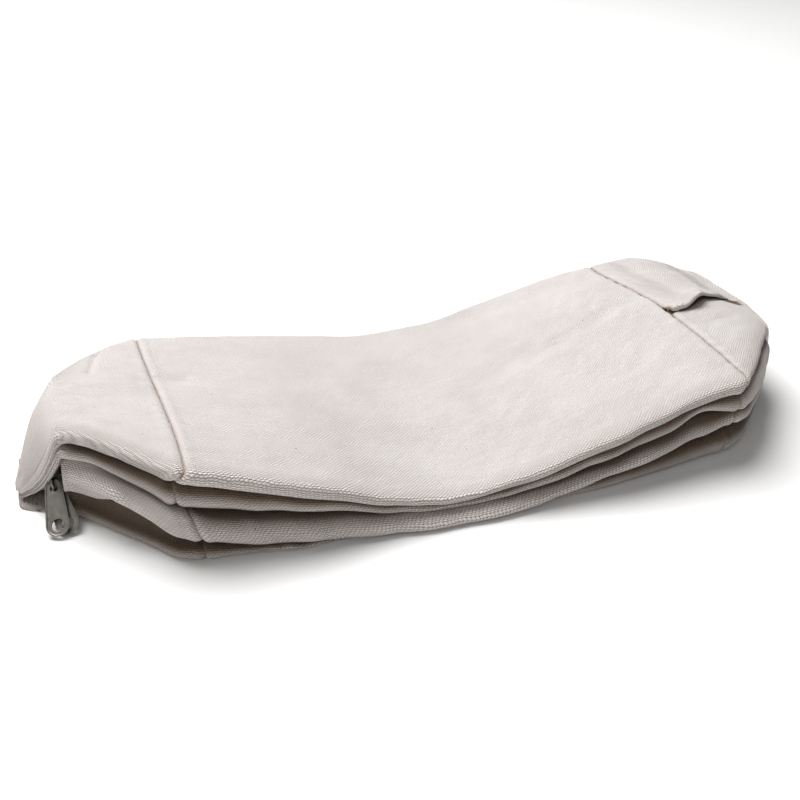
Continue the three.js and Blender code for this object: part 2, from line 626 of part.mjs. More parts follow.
// Zip slider: a rounded body with a wire bridge that holds both pull tabs
function slider() {
  const outline = roundedShape(SLIDER_LENGTH - 1, SLIDER_WIDTH - 1, SLIDER_WIDTH - 2.4);
  const body = new THREE.ExtrudeGeometry(outline, {
    depth: SLIDER_THICK - 1,
    bevelEnabled: true,
    bevelThickness: 0.5,
    bevelSize: 0.5,
    bevelSegments: 1,
    curveSegments: 6,
  });
  body.translate(-(SLIDER_LENGTH - 1) / 2, 0, -(SLIDER_THICK - 1) / 2);
  placed(body, SLIDER_CENTRE, SLIDE, FACE.clone().cross(SLIDE), FACE);
  const at = (down, out) => BRIDGE_FOOT.clone().addScaledVector(HANG, down).addScaledVector(FACE, out);
  const top = holeRise(1) + TAB_THICK / 2 + 1.4;
  const wireWay = new THREE.CatmullRomCurve3([
    at(TAB_HANG, 0.6),
    at(TAB_HANG, holeRise(0)),
    at(TAB_HANG, holeRise(1)),
    at(TAB_HANG - 1.4, top),
    at(-1.2, top - 0.4),
    at(-2.6, top - 2.2),
    at(-2.8, 0.6),
  ], false, 'centripetal');
  const wire = new THREE.ExtrudeGeometry(new THREE.Shape().absarc(0, 0, BRIDGE_WIRE / 2, 0, Math.PI * 2), {
    steps: 18,
    curveSegments: 8,
    bevelEnabled: false,
    extrudePath: wireWay,
  });
  const joined = solidOf(body).add(solidOf(wire)).getMesh();
  return geometryOf(Array.from(joined.vertProperties), Array.from(joined.triVerts));
}

// Pull tab: a flat stamped tongue with a small hole on the bridge and a larger hole at its free end
function pullTab(layer, direction) {
  const outline = roundedShape(TAB_LENGTH, TAB_TOP_WIDTH, TAB_WIDTH);
  const hole = (x, diameter) => new THREE.Path().absarc(x, 0, diameter / 2, 0, Math.PI * 2, true);
  outline.holes.push(hole(TAB_HOLE_INSET, TAB_TOP_HOLE), hole(TAB_LENGTH - TAB_WIDTH / 2, TAB_LOW_HOLE));
  const tab = new THREE.ExtrudeGeometry(outline, {
    depth: TAB_THICK - 0.4,
    bevelEnabled: true,
    bevelThickness: 0.2,
    bevelSize: 0.2,
    bevelOffset: -0.2,
    bevelSegments: 1,
    curveSegments: 8,
  });
  tab.translate(-TAB_HOLE_INSET, 0, -(TAB_THICK - 0.4) / 2);
  return placed(tab, tabHoleCentre(layer), direction, FACE.clone().cross(direction), FACE);
}

const canvas = new THREE.MeshStandardMaterial({ color: 0xe2dcd6, roughness: 0.92, metalness: 0 });
const tape = new THREE.MeshStandardMaterial({ color: 0xd8d0c6, roughness: 0.8, metalness: 0 });
const metal = new THREE.MeshStandardMaterial({ color: 0x8b8985, roughness: 0.35, metalness: 1 });

const bag = new THREE.Group();
const pieces = [
  { name: 'body', material: canvas, make: bodyCloth },
  { name: 'end_panel_left', material: canvas, make: leftEndPanel },
  { name: 'end_panel_right', material: canvas, make: rightEndPanel },
  { name: 'zip', material: tape, make: zip },
  { name: 'zip_slider', material: metal, make: slider },
  { name: 'pull_tab_1', material: metal, make: () => pullTab(1, HANG) },
  { name: 'pull_tab_2', material: metal, make: () => pullTab(0, FAN) },
];
pieces.forEach(({ name, material, make }) => {
  const mesh = new THREE.Mesh(make(), material.clone());
  mesh.name = name;
  bag.add(mesh);
});

// The origin is the middle of the box round the bag, at the level it lies on
const box = new THREE.Box3().setFromObject(bag);
const centre = box.getCenter(new THREE.Vector3());
bag.position.set(-centre.x, -centre.y, -box.min.z);

export default bag;
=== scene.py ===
from math import cos, exp, hypot, pi, radians, sin

import bmesh
import bpy
from mathutils import Matrix, Vector, noise


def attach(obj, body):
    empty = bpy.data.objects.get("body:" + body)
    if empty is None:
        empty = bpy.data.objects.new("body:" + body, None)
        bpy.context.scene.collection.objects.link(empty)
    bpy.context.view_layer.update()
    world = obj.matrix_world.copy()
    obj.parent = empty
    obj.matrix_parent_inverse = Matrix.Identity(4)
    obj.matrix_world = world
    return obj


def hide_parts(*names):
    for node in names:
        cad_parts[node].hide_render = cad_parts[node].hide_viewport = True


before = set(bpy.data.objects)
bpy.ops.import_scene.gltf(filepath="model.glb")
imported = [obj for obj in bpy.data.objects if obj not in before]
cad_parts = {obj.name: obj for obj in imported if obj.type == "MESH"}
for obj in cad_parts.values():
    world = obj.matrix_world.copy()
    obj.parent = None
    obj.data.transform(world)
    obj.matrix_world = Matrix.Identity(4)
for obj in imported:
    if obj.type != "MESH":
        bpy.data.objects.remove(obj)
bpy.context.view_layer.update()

# The table the bag lies on, the daylight over it and the camera.
# The camera stands in front and to the left of the bag, some 60 cm away, and looks down on it.
MM = 0.001
MIDDLE = Vector((3.665, 1.569, 0.0))
CAMERA_PLACE = Vector((-168.3, -481.1, 336.0))
CAMERA_TURN = -18.0
CAMERA_PITCH = 32.0
PHOTO_WIDTH = 800
FOCAL_PIXELS = 1050
TABLE_SIZE = 7.0
TABLE_COLOUR = (0.90, 0.90, 0.895, 1.0)
DAYLIGHT_COLOUR = (0.97, 0.98, 1.0, 1.0)
DAYLIGHT_STRENGTH = 0.16


def object_from(bm, name, material):
    mesh = bpy.data.meshes.new(name)
    bm.to_mesh(mesh)
    bm.free()
    mesh.materials.append(material)
    made = bpy.data.objects.new(name, mesh)
    bpy.context.collection.objects.link(made)
    return made


def smooth(made):
    for face in made.data.polygons:
        face.use_smooth = True


def plain_material(name, colour, roughness):
    material = bpy.data.materials.new(name)
    material.use_nodes = True
    surface = material.node_tree.nodes["Principled BSDF"]
    surface.inputs["Base Color"].default_value = colour
    surface.inputs["Roughness"].default_value = roughness
    return material


table = bmesh.new()
bmesh.ops.create_grid(table, x_segments=1, y_segments=1, size=TABLE_SIZE / 2)
tabletop = object_from(table, "table", plain_material("pale table", TABLE_COLOUR, 0.7))

camera = bpy.data.cameras.new("camera")
camera.sensor_width = 36.0
camera.lens = camera.sensor_width * FOCAL_PIXELS / PHOTO_WIDTH
camera.clip_start = 0.02
eye = bpy.data.objects.new("camera", camera)
eye.location = (CAMERA_PLACE + MIDDLE) * MM
eye.rotation_euler = (radians(90 - CAMERA_PITCH), 0.0, radians(CAMERA_TURN))
bpy.context.collection.objects.link(eye)
bpy.context.scene.camera = eye
bpy.context.scene.view_settings.view_transform = "Standard"


def soft_light(name, place, size, power, colour):
    light = bpy.data.lights.new(name, "AREA")
    light.shape = "DISK"
    light.size = size
    light.energy = power
    light.color = colour
    lamp = bpy.data.objects.new(name, light)
    lamp.location = place
    lamp.rotation_euler = (-Vector(place)).to_track_quat("-Z", "Y").to_euler()
    bpy.context.collection.objects.link(lamp)


soft_light("overhead light", place=(-0.35, 0.75, 1.7), size=1.5, power=56, colour=(1.0, 0.995, 0.985))
soft_light("room light", place=(-1.2, -1.6, 1.3), size=1.8, power=9.8, colour=(1.0, 0.968, 0.93))
world = bpy.data.worlds.new("daylight")
world.use_nodes = True
sky = world.node_tree.nodes["Background"]
sky.inputs["Color"].default_value = DAYLIGHT_COLOUR
sky.inputs["Strength"].default_value = DAYLIGHT_STRENGTH
bpy.context.scene.world = world

# Body: one strip of unbleached cotton canvas, folded round from one zip edge to the other.
# It makes the upper wall, the base tucked in at the front, the lower wall and both zip strips,
# and its two cut ends are sewn to the end panels in turned seams.
CLOTH = 1.2
FLOOR = CLOTH / 2
SEAM_LEFT = -148.0
SEAM_RIGHT = 148.0
SEAM_GAP = 0.15
TIP_LEFT = -196.0
TIP_RIGHT = 204.0
TUCK_DEPTH = 46.0
SECOND_TUCK = 20.0
TIP_TUCK = 9.0
TUCK_OPENING = 2.0
ZIP_LINE = 24.0
ZIP_HEM_RISE = 2.7
ZIP_HEIGHT_SHARE = 0.22
ZIP_LOWEST = 5.1
ZIP_HIGHEST = 9.0
BODY_ROWS = 180

# Stations along the bag: y, z and opening of the three front folds, how far the third one's top is
# rolled back and how deep the crease under it runs, the front of the lowest layer, the back fold,
# and how far the top is puffed up.
STATION_NAMES = ("x", "y1", "z1", "g1", "y2", "z2", "g2", "y3", "z3", "g3", "roll", "deep", "y4", "z4",
                 "yb", "zb", "gb", "puff")
STATION_ROWS = (
    (-196, -25, 51.5, 4.6, -25.5, 42, 6, -29, 34.3, 16.3, 8, 6, -26, 7, 41, 46, 5, 1),
    (-184, -35.5, 53, 6, -34.5, 43.5, 6, -41, 35.5, 17, 10, 13, -38, 6.2, 57, 44, 5.6, 2),
    (-172, -48, 53.5, 7, -46.5, 43, 8.4, -54, 33, 10.5, 9, 15, -51, 6, 70, 42, 6, 2),
    (-160, -61.5, 53, 7, -59, 42, 10.4, -67, 30, 10.5, 6.5, 15, -64, 6, 81, 39.5, 6, 2),
    (-148, -75, 53, 7.5, -73, 41.5, 12.4, -80, 27.5, 12.5, 4.5, 13, -77.5, 6.5, 88, 37, 6, 1),
    (-136, -80, 51, 8, -78, 40.5, 12, -83, 24, 12.5, 4.5, 11, -81.5, 6, 88, 35.5, 6, 0),
    (-113, -82.5, 44.6, 8, -80.5, 34, 10.2, -84.5, 19.5, 12.8, 4.5, 8, -84.5, 4.4, 88, 33, 6, 0),
    (-88, -86.5, 37.5, 7.6, -84, 27.6, 6.8, -88.5, 17, 12, 4.5, 6, -88, 2.6, 88, 29, 5, 0),
    (-66, -87, 29.2, 5.8, -85, 21.3, 5.4, -90.5, 13, 9.6, 4.5, 5, -86, 1.2, 87, 25.5, 4, 0),
    (-45, -87.5, 21, 4.2, -86, 15, 4.2, -92.5, 9.2, 7, 4.5, 4, -86, 0.8, 86, 22, 3, 0),
    (-9, -89, 14.4, 2.5, -88, 10.3, 2.5, -95.5, 6.2, 4.6, 4.5, 3, -90, 0.7, 84, 18, 2.2, -1),
    (28, -90.5, 20.6, 4, -89, 15, 5, -94.5, 8.4, 5.8, 4.5, 5, -87, 0.8, 85, 18.5, 2.4, -1),
    (66, -91, 31, 5, -88.5, 23.2, 6.2, -91.5, 14.4, 6, 4.5, 8, -89.5, 5.5, 90, 24, 4, 0),
    (110, -87.5, 41.5, 5.6, -85, 33, 8.4, -87, 21.5, 7.4, 4.5, 12, -85.5, 9, 92, 33, 5, 1),
    (130, -85, 45.6, 5.7, -84, 38.2, 3.4, -84.5, 27.5, 9.6, 4.5, 13, -83, 11, 90, 38, 5.6, 2),
    (150, -84.5, 48.3, 5.6, -83.5, 41, 11.4, -82, 28, 6.5, 4.5, 13, -80.5, 12, 87, 42, 6, 2),
    (162, -76, 48.5, 5.3, -79, 41.5, 12.4, -79, 27.5, 7, 4.5, 12, -76.5, 12, 86, 44, 6, 2),
    (176, -62, 48, 5, -68.5, 41.3, 13, -68, 26.7, 7.2, 4.5, 10, -65, 12, 84, 46, 6, 2),
    (190, -45.5, 47, 4.4, -54, 40, 12.3, -53, 26, 7.5, 4.5, 8, -50.5, 11.5, 73, 46, 5.6, 2),
    (204, -30, 45.5, 3.4, -36, 37.5, 10.6, -35, 25.3, 7.8, 4.5, 5, -33, 11, 54, 45, 5, 2),
)
STATIONS = [dict(zip(STATION_NAMES, row)) for row in STATION_ROWS]

# The overlapped pleat across the right end: its edge, how far it laps, how high it stands, and how
# far it is let out flat again toward the tip.
PLEAT_NAMES = ("x", "edge", "lap", "rise", "flat")
PLEAT_ROWS = (
    (148, 0.5, 3, 4.2, 0),
    (157, 0, 5, 4.4, 0),
    (167, 2.5, 9, 8.6, 0),
    (178, 7, 10, 5.6, 0),
    (190, 7, 8, 4.4, 0),
    (204, 5, 3, 3, 1),
)
PLEAT_STEP = 3.0
PLEAT_FOOT = 6.0
PLEAT = [dict(zip(PLEAT_NAMES, row)) for row in PLEAT_ROWS]

# How far the nose of each front fold wanders in and out, over what length, and where its waves start.
FOLD_SWAYS = ((0.8, 16, 1.5), (1.0, 14, 5.5), (1.4, 22, 9.5))


def clamp(value, low, high):
    return max(low, min(high, value))


def lerp(a, b, t):
    return a + (b - a) * t


def ease(value, low, high):
    t = clamp((value - low) / (high - low), 0.0, 1.0)
    return t * t * (3 - 2 * t)


def tangent(rows, key, k):
    """The slope of one column of a table at row k, none at a peak, so that the curve keeps inside."""
    def rate(a, b):
        return (rows[b][key] - rows[a][key]) / (rows[b]["x"] - rows[a]["x"])

    last = len(rows) - 1
    if k == 0:
        return rate(0, 1)
    if k == last:
        return rate(last - 1, last)
    before = rate(k - 1, k)
    after = rate(k, k + 1)
    return 0.0 if before * after <= 0 else 2 * before * after / (before + after)


def read(rows, key, x):
    """One column of a table at any x, as a smooth curve."""
    i = 0
    while i < len(rows) - 2 and x > rows[i + 1]["x"]:
        i += 1
    a = rows[i]
    b = rows[i + 1]
    step = b["x"] - a["x"]
    t = clamp((x - a["x"]) / step, 0.0, 1.0)
    start = (2 * t ** 3 - 3 * t ** 2 + 1) * a[key] + (t ** 3 - 2 * t ** 2 + t) * step * tangent(rows, key, i)
    return start + (3 * t ** 2 - 2 * t ** 3) * b[key] + (t ** 3 - t ** 2) * step * tangent(rows, key, i + 1)


def sway(x, reach, length, start):
    return reach * noise.noise(Vector((x / length, 0, start)))


def top_unevenness(x, y):
    """Two slow waves that cross each other on the upper wall."""
    return 0.5 * sin(x / 19 + y / 31) + 0.4 * sin(y / 17 - x / 43 + 1.3)


# How far the seams and the left edge are drawn along the bag at the wall and at each layer below it.
SEAM_PULL = {
    "wall": (7.3, 10.0, 0.0),
    "fold 1 under": (0.7, 5.0, 0.0),
    "fold 2": (1.0, 6.0, 0.0),
    "fold 3 top": (7.0, 6.0, -1.0),
    "fold 3 under": (11.0, 5.0, -2.0),
    "lowest fold": (11.0, 3.0, -0.5),
}


def pull(x, layer):
    left, right, tip = SEAM_PULL[layer]
    to_left = ease(-x, 60, 148) * (1 - ease(-x, 150, 190))
    to_right = ease(x, 50, 148) * (1 - ease(x, 165, 204))
    return left * to_left + right * to_right + tip * ease(-x, 180, 196)


def wall_pull(x, y):
    """The wall's own pull, which dies away toward the back."""
    fades = ease(y, 15, 75) if x > 0 else ease(y, -60, 90)
    return pull(x, "wall") * (1 - fades)


def zip_height(x):
    return clamp(ZIP_HEIGHT_SHARE * read(STATIONS, "zb", x), ZIP_LOWEST, ZIP_HIGHEST)


def wall_corners(x):
    """The upper wall from back to front; past the right seam it laps over itself in one pleat."""
    yb, zb, puff = (read(STATIONS, key, x) for key in ("yb", "zb", "puff"))
    y1, z1 = (read(STATIONS, key, x + pull(x, "wall")) for key in ("y1", "z1"))

    def corner(name, y, up, count, after):
        s = (yb - y) / (yb - y1)
        z = lerp(zb, z1, s) + 4 * s * (1 - s) * puff + top_unevenness(x, y) + up
        return name, y, z, count, after, wall_pull(x, y)

    if x <= SEAM_RIGHT:
        return [corner("wall", lerp(yb, y1, k / 10), 0, 8, 0) for k in range(1, 10)]
    edge, lap, rise, flat = (read(PLEAT, key, x) for key in PLEAT_NAMES[1:])

    def pleat(name, overlap, steps, up, count, after):
        y = lerp(edge + overlap, edge + steps * PLEAT_STEP, flat)
        return corner(name, y, up * (1 - flat), count, after)

    back = lerp(edge + lap + PLEAT_FOOT, edge + 3 * PLEAT_STEP, flat)
    front = edge - 2 * PLEAT_STEP * flat
    return [
        *[corner("wall", lerp(yb, back, t), 0, 8, 0) for t in (0.2, 0.45, 0.75)],
        pleat("pleat back", lap + PLEAT_FOOT, 3, 0.3, 6, 0),
        pleat("pleat back", lap, 2, rise - 0.4, 7, 3),
        pleat("pleat edge", 0, 1, rise, 7, 0),
        pleat("pleat edge", 0, 0, rise - 1.9, 7, 3),
        pleat("pleat tuck", lap, -1, 1.9, 3, 0),
        pleat("pleat tuck", lap, -2, 0.1, 3, 3),
        *[corner("wall", lerp(front, y1, t), 0, 8, 0) for t in (0.12, 0.3, 0.5, 0.7, 0.88)],
    ]


def section_corners(x):
    """Turning points of a section: name, y, z, points round it and on the straight after it, pull."""
    yb, zb, gb = (read(STATIONS, key, x) for key in ("yb", "zb", "gb"))
    pull1, pull1_under, pull2, pull3, pull3_under, pull4 = (pull(x, layer) for layer in SEAM_PULL)
    y1, z1 = (read(STATIONS, key, x + pull1) for key in ("y1", "z1"))
    y1_under = read(STATIONS, "y1", x + pull1_under)
    under1 = read(STATIONS, "z1", x + pull1_under) - read(STATIONS, "g1", x + pull1_under)
    y2, z2, g2 = (read(STATIONS, key, x + pull2) for key in ("y2", "z2", "g2"))
    y3, z3, roll, deep = (read(STATIONS, key, x + pull3) for key in ("y3", "z3", "roll", "deep"))
    y3_under = read(STATIONS, "y3", x + pull3_under)
    under3 = read(STATIONS, "z3", x + pull3_under) - read(STATIONS, "g3", x + pull3_under)
    y4, z4 = (read(STATIONS, key, x + pull4) for key in ("y4", "z4"))
    sway1, sway2, sway3 = (sway(x, *row) for row in FOLD_SWAYS)
    under2 = z2 - g2
    left = clamp((x - SEAM_LEFT) / (TIP_LEFT - SEAM_LEFT), 0, 1)
    end = max(left, clamp((x - SEAM_RIGHT) / (TIP_RIGHT - SEAM_RIGHT), 0, 1))
    inner1 = max(y1_under, y2) + lerp(TUCK_DEPTH, TIP_TUCK, end) * (1 - ease(left, 0.86, 0.98)) + 0.3
    inner2 = max(y2, y3) + lerp(SECOND_TUCK, TIP_TUCK, end)
    middle1 = (under1 + z2) / 2
    middle2 = (under2 + z3) / 2
    half1 = min(TUCK_OPENING, under1 - z2) / 2
    half2 = min(TUCK_OPENING, max(under2 - z3, 0.6)) / 2
    crease_y = y3_under + deep
    crease_z = lerp(z4, under3, 0.8)
    zip_z = zip_height(x)
    return [
        ("zip hem", ZIP_LINE, zip_z + ZIP_HEM_RISE, 1, 3, 0),
        ("upper zip strip", ZIP_LINE + 9, zip_z + ZIP_HEM_RISE + 0.5, 3, 4, 0),
        ("upper zip strip", yb - 12, zb - gb - 1, 3, 2, 0),
        ("back nose", yb, zb - gb, 7, 0, 0),
        ("back nose top", yb, zb, 7, 3, wall_pull(x, yb)),
        *wall_corners(x),
        ("fold 1 top", y1 + sway1, z1, 8, 0, pull1),
        ("fold 1 under", y1_under + sway1, under1, 8, 6, pull1_under),
        ("tuck 1", inner1, middle1 + half1, 3, 0, pull1_under),
        ("tuck 1", inner1, middle1 - half1, 3, 6, pull2),
        ("fold 2 top", y2 + sway2, z2, 8, 0, pull2),
        ("fold 2 under", y2 + sway2, under2, 8, 3, pull2),
        ("tuck 2", inner2, middle2 + half2, 3, 0, lerp(pull2, pull3, 0.47)),
        ("tuck 2", inner2, middle2 - half2, 3, 3, lerp(pull2, pull3, 0.53)),
        ("fold 3 top", y3 + roll + sway3, z3, 7, 0, pull3),
        ("fold 3 front", y3 + sway3, lerp(z3, under3, 0.5), 6, 0, (pull3 + pull3_under) / 2),
        ("fold 3 under", y3_under + 1 + sway3, under3, 7, 1, pull3_under),
        ("crease", crease_y, crease_z, 5, 1, pull4),
        ("lowest fold back", lerp(crease_y, y4, 0.3), lerp(z4, crease_z, 0.25), 4, 1, pull4),
        ("lowest fold top", y4, z4, 6, 0, pull4),
        ("lowest fold under", y4 + 1.5, FLOOR, 6, 4, pull4),
        *[("underside", lerp(y4, yb, s), FLOOR, 10, 2, pull4 * (1 - s)) for s in (0.25, 0.5, 0.75)],
        ("back nose low", yb, FLOOR, 7, 0, 0),
        ("back nose", yb, FLOOR + min(gb, 4), 7, 2, 0),
        ("lower zip strip", ZIP_LINE + 12, zip_z - ZIP_HEM_RISE, 3, 2, 0),
        ("zip hem", ZIP_LINE, zip_z - ZIP_HEM_RISE, 1, 0, 0),
    ]


def section_points(x):
    """One cross section as points, each turning point rounded off as far as its neighbours allow."""
    corners = section_corners(x)
    turns = [Vector((x + along, y, z)) for name, y, z, count, after, along in corners]
    path = []
    for k, (name, y, z, count, after, along) in enumerate(corners):
        if k in (0, len(corners) - 1):
            path.append((turns[k], after))
            continue
        before = turns[k - 1] - turns[k]
        beyond = turns[k + 1] - turns[k]
        reach = 0.5 * min(before.length, beyond.length)
        for i in range(count):
            t = lerp(0.06, 0.94, i / max(count - 1, 1))
            bend = before.normalized() * reach * (1 - t) ** 2 + beyond.normalized() * reach * t ** 2
            path.append((turns[k] + bend, after if i == count - 1 else 0))
    points = []
    for k, (point, straight) in enumerate(path):
        following = path[min(k + 1, len(path) - 1)][0]
        points += [point.lerp(following, i / (straight + 1)) for i in range(straight + 1)]
    return points


def column_names(x):
    """For each point of a section the name of its turning point, or of the stretch after it."""
    names = []
    for name, y, z, count, after, along in section_corners(x):
        names += [name] * count + [name + " stretch"] * after
    return names


def columns_between(columns, first, last):
    """The first column of one name and the last column of another."""
    return columns.index(first), len(columns) - 1 - columns[::-1].index(last)


def cloth_grid(rows, columns):
    """A flat grid of cloth with one column for each point of a cross section, as a list of its rows."""
    bm = bmesh.new()
    for layer in ("along", "around", "seam", "gap", "shade", "opened"):
        bm.verts.layers.float.new(layer)
    bm.loops.layers.uv.new("cloth")
    bmesh.ops.create_grid(bm, x_segments=len(columns) - 1, y_segments=rows - 1, size=1.0)
    corners = sorted(bm.verts, key=lambda corner: (round(corner.co.y, 6), corner.co.x))
    lines = [corners[r * len(columns):(r + 1) * len(columns)] for r in range(rows)]
    return bm, lines


def lay_section(line, x):
    for corner, place in zip(line, section_points(x)):
        corner.co = place


# Each front gap: the fold over it, the top of the fold under it and where that fold turns under.
FOLD_PAIRS = (
    ("fold 1 under", "fold 2 top", "fold 2 under"),
    ("fold 2 under", "fold 3 top", "fold 3 under"),
    ("fold 3 under", "lowest fold top", "lowest fold under"),
)
FOLD_MIDDLES = ("fold 1 under", "fold 2 under", "fold 3 front", "lowest fold top")
SHADOW_SHARE = 0.36
SHADOW_LEAST = 1.0
SHADOW_MOST = 4.4
SHADOW_PASSES = 6
MOUTH_DEPTH = 0.6
FOLD_GROOVE_FADE = 13.0
WALL_COLUMNS = 40


def shade_gap(line, columns, shade, upper, top, under):
    """Paint shade into the cloth inside one front gap; the painted shade fades out over the nose of the fold
    below it.
    """
    first, last = columns_between(columns, upper, top)
    end = columns_between(columns, top, under)[1]
    half = (first + last) // 2
    lips = (line[first:half], line[half:last + 1])
    mouth = max(min(corner.co.y for corner in lip) for lip in lips)
    for corner in line[first:half]:
        corner[shade] = max(corner[shade], ease(corner.co.y - mouth, -0.3, 2.0))
    levels = [corner.co.z for corner in line[half:end]]
    depth = clamp(SHADOW_SHARE * (max(levels) - min(levels)), SHADOW_LEAST, SHADOW_MOST)
    reached = 0.0
    for c in range(half, end):
        if line[c].co.y < mouth + MOUTH_DEPTH:
            reached += (line[c].co - line[c - 1].co).length
        line[c][shade] = max(line[c][shade], exp(-(reached / depth) ** 1.6))


def mark_folds(bm, lines, columns, seams):
    """Keep for each point its distance from the nearest seam, how much painted shade it takes in a front
    fold, and how strong the painted shade in its weave's grooves is: full on the folds, where the folding
    spreads the threads, and fading out on the wall near them."""
    gap, shade, opened = (bm.verts.layers.float[layer] for layer in ("gap", "shade", "opened"))
    wall_end = columns.index("fold 1 top")
    folds_end = columns_between(columns, "lowest fold under", "lowest fold under")[1]
    for line in lines:
        for corner in line[wall_end:folds_end]:
            corner[opened] = 1.0
        for corner in line[wall_end - WALL_COLUMNS:wall_end]:
            corner[opened] = ease((line[wall_end].co - corner.co).length, FOLD_GROOVE_FADE, 0)
        for c, corner in enumerate(line):
            corner[gap] = min(abs(corner.co.x - seam[c].co.x) for seam in seams)
        for pair in FOLD_PAIRS:
            shade_gap(line, columns, shade, *pair)
    for turn in range(SHADOW_PASSES):
        for c in range(wall_end, len(columns)):
            shades = [line[c][shade] for line in lines]
            for r in range(1, len(lines) - 1):
                lines[r][c][shade] = (shades[r - 1] + 2 * shades[r] + shades[r + 1]) / 4


def measure_cloth(bm, outward, sections, columns, level=None):
    """A map of the cloth in millimetres, from its first line outwards and round the section.

    Only the first lines are whole sections; the lines after them keep the last section's places.
    The threads follow each front fold, and those of the wall start at the first fold or at a given y.
    """
    along, around = (bm.verts.layers.float[layer] for layer in ("along", "around"))
    middles = [columns.index(name) for name in FOLD_MIDDLES]
    fixed = None
    for r, line in enumerate(outward):
        for c, corner in enumerate(line):
            if r:
                corner[along] = outward[r - 1][c][along] + (corner.co - outward[r - 1][c].co).length
                corner[around] = outward[r - 1][c][around]
        if r >= sections:
            continue
        reached = [0.0]
        for c in range(1, len(line)):
            across = line[c].co - line[c - 1].co
            reached.append(reached[-1] + hypot(across.y, across.z))
        start = reached[middles[0]]
        if level is not None:
            c = next(c for c in range(middles[0], 0, -1) if line[c].co.y <= level < line[c - 1].co.y)
            share = (level - line[c].co.y) / (line[c - 1].co.y - line[c].co.y)
            start = lerp(reached[c], reached[c - 1], share)
        reached = [place - start for place in reached]
        if fixed is None:
            fixed = [reached[middle] for middle in middles]
        moves = [place - reached[middle] for place, middle in zip(fixed, middles)]
        moves[0] = 0.0
        for c, corner in enumerate(line):
            k = max(i for i in range(len(middles)) if i == 0 or middles[i] <= c)
            move = moves[k]
            if c > middles[0] and k + 1 < len(middles):
                share = (c - middles[k]) / (middles[k + 1] - middles[k])
                move = lerp(move, moves[k + 1], ease(share, 0.4, 0.6))
            corner[around] = reached[c] + move
    cloth_map = bm.loops.layers.uv["cloth"]
    for face in bm.faces:
        for loop in face.loops:
            loop[cloth_map].uv = (loop.vert[along] * MM, loop.vert[around] * MM)


SEAM_DEPTH = 1.0
SEAM_WIDTH = 1.1
SEAM_SHADOW_REACH = 0.8
SHOULDER_RISE = 0.45
SHOULDER_AWAY = 3.4
SHOULDER_WIDTH = 2.0
PUCKER_HEIGHT = 0.42
PUCKER_PITCH = 1.15
PUCKER_REACH = 6.0


def seam_relief(gap, across):
    """How far the cloth stands in or out near a turned seam, with small puckers along it."""
    groove = -SEAM_DEPTH * exp(-(gap / SEAM_WIDTH) ** 2)
    shoulder = SHOULDER_RISE * exp(-((gap - SHOULDER_AWAY) / SHOULDER_WIDTH) ** 2)
    pucker = PUCKER_HEIGHT * sin(across / PUCKER_PITCH + 2.0 * sin(across / 9)) * exp(-gap / PUCKER_REACH)
    return groove + shoulder + pucker * (0.5 + noise.noise(Vector((across / 14, 3.0, 0.5))))


def crease_relief(place, creases):
    """The sum of soft creases, each a trough or ridge between two points with a width and a height."""
    total = 0.0
    for start, end, width, height in creases:
        way = Vector(end) - Vector(start)
        away = place - Vector(start)
        t = clamp(away.dot(way) / way.length_squared, 0, 1)
        total += height * exp(-((away - way * t).length / width) ** 2)
    return total


def soft_relief(x, across, start):
    """The unevenness of soft canvas: slow waves and small ones, a little stretched along the bag."""
    slow = 0.55 * noise.noise(Vector((x / 42, across / 24, start)))
    small = 0.24 * noise.noise(Vector((x / 13, across / 8, start + 5)))
    return slow + small


def finish_cloth(bm, name, start, creases, in_plan=False):
    """Press seams, soft waves and creases into a sheet, put it in place and give it its thickness.

    Creases in plan are laid on the upper wall only, whatever its height.
    """
    around, seam, gap = (bm.verts.layers.float[layer] for layer in ("around", "seam", "gap"))
    bm.normal_update()
    moves = []
    for corner in bm.verts:
        # Painted shadow in the seam grooves, kept in the seam layer.
        corner[seam] = exp(-(corner[gap] / SEAM_SHADOW_REACH) ** 2)
        relief = soft_relief(corner.co.x, corner[around], start) + seam_relief(corner[gap], corner[around])
        if not in_plan:
            relief += crease_relief(corner.co, creases)
        elif corner[around] < 0 and corner.normal.z > 0.3:
            relief += crease_relief(Vector((corner.co.x, corner.co.y, 0)), creases)
        moves.append((corner, corner.normal * relief))
    for corner, move in moves:
        corner.co += move
        corner.co.z = max(corner.co.z, FLOOR)
        corner.co = (corner.co + MIDDLE) * MM
    made = object_from(bm, name, canvas)
    smooth(made)
    thick = made.modifiers.new("cloth thickness", "SOLIDIFY")
    thick.thickness = CLOTH * MM
    thick.offset = 0.0
    return made


GRAIN_LENGTH = 0.0021
GRAIN_SLANT = 0.12
THREAD_PITCH = 0.00098
THREAD_WANDER = 0.0016
WEAVE_DEPTH = 0.0007
DENT_DEPTH = 0.0022
CANVAS_COLOUR = (0.800, 0.756, 0.740, 1.0)
CANVAS_BLOTCH = (0.765, 0.716, 0.702, 1.0)
GROOVE_SHADE_AND_SPECK_COLOUR = (0.24, 0.155, 0.085, 1.0)
SLUB_COLOUR = (0.84, 0.80, 0.77, 1.0)
FLECK_COLOUR = (0.13, 0.075, 0.04, 1.0)
SEAM_SHADOW_COLOUR = (0.36, 0.25, 0.17, 1.0)
FOLD_SHADE_COLOUR = (0.10, 0.06, 0.03, 1.0)


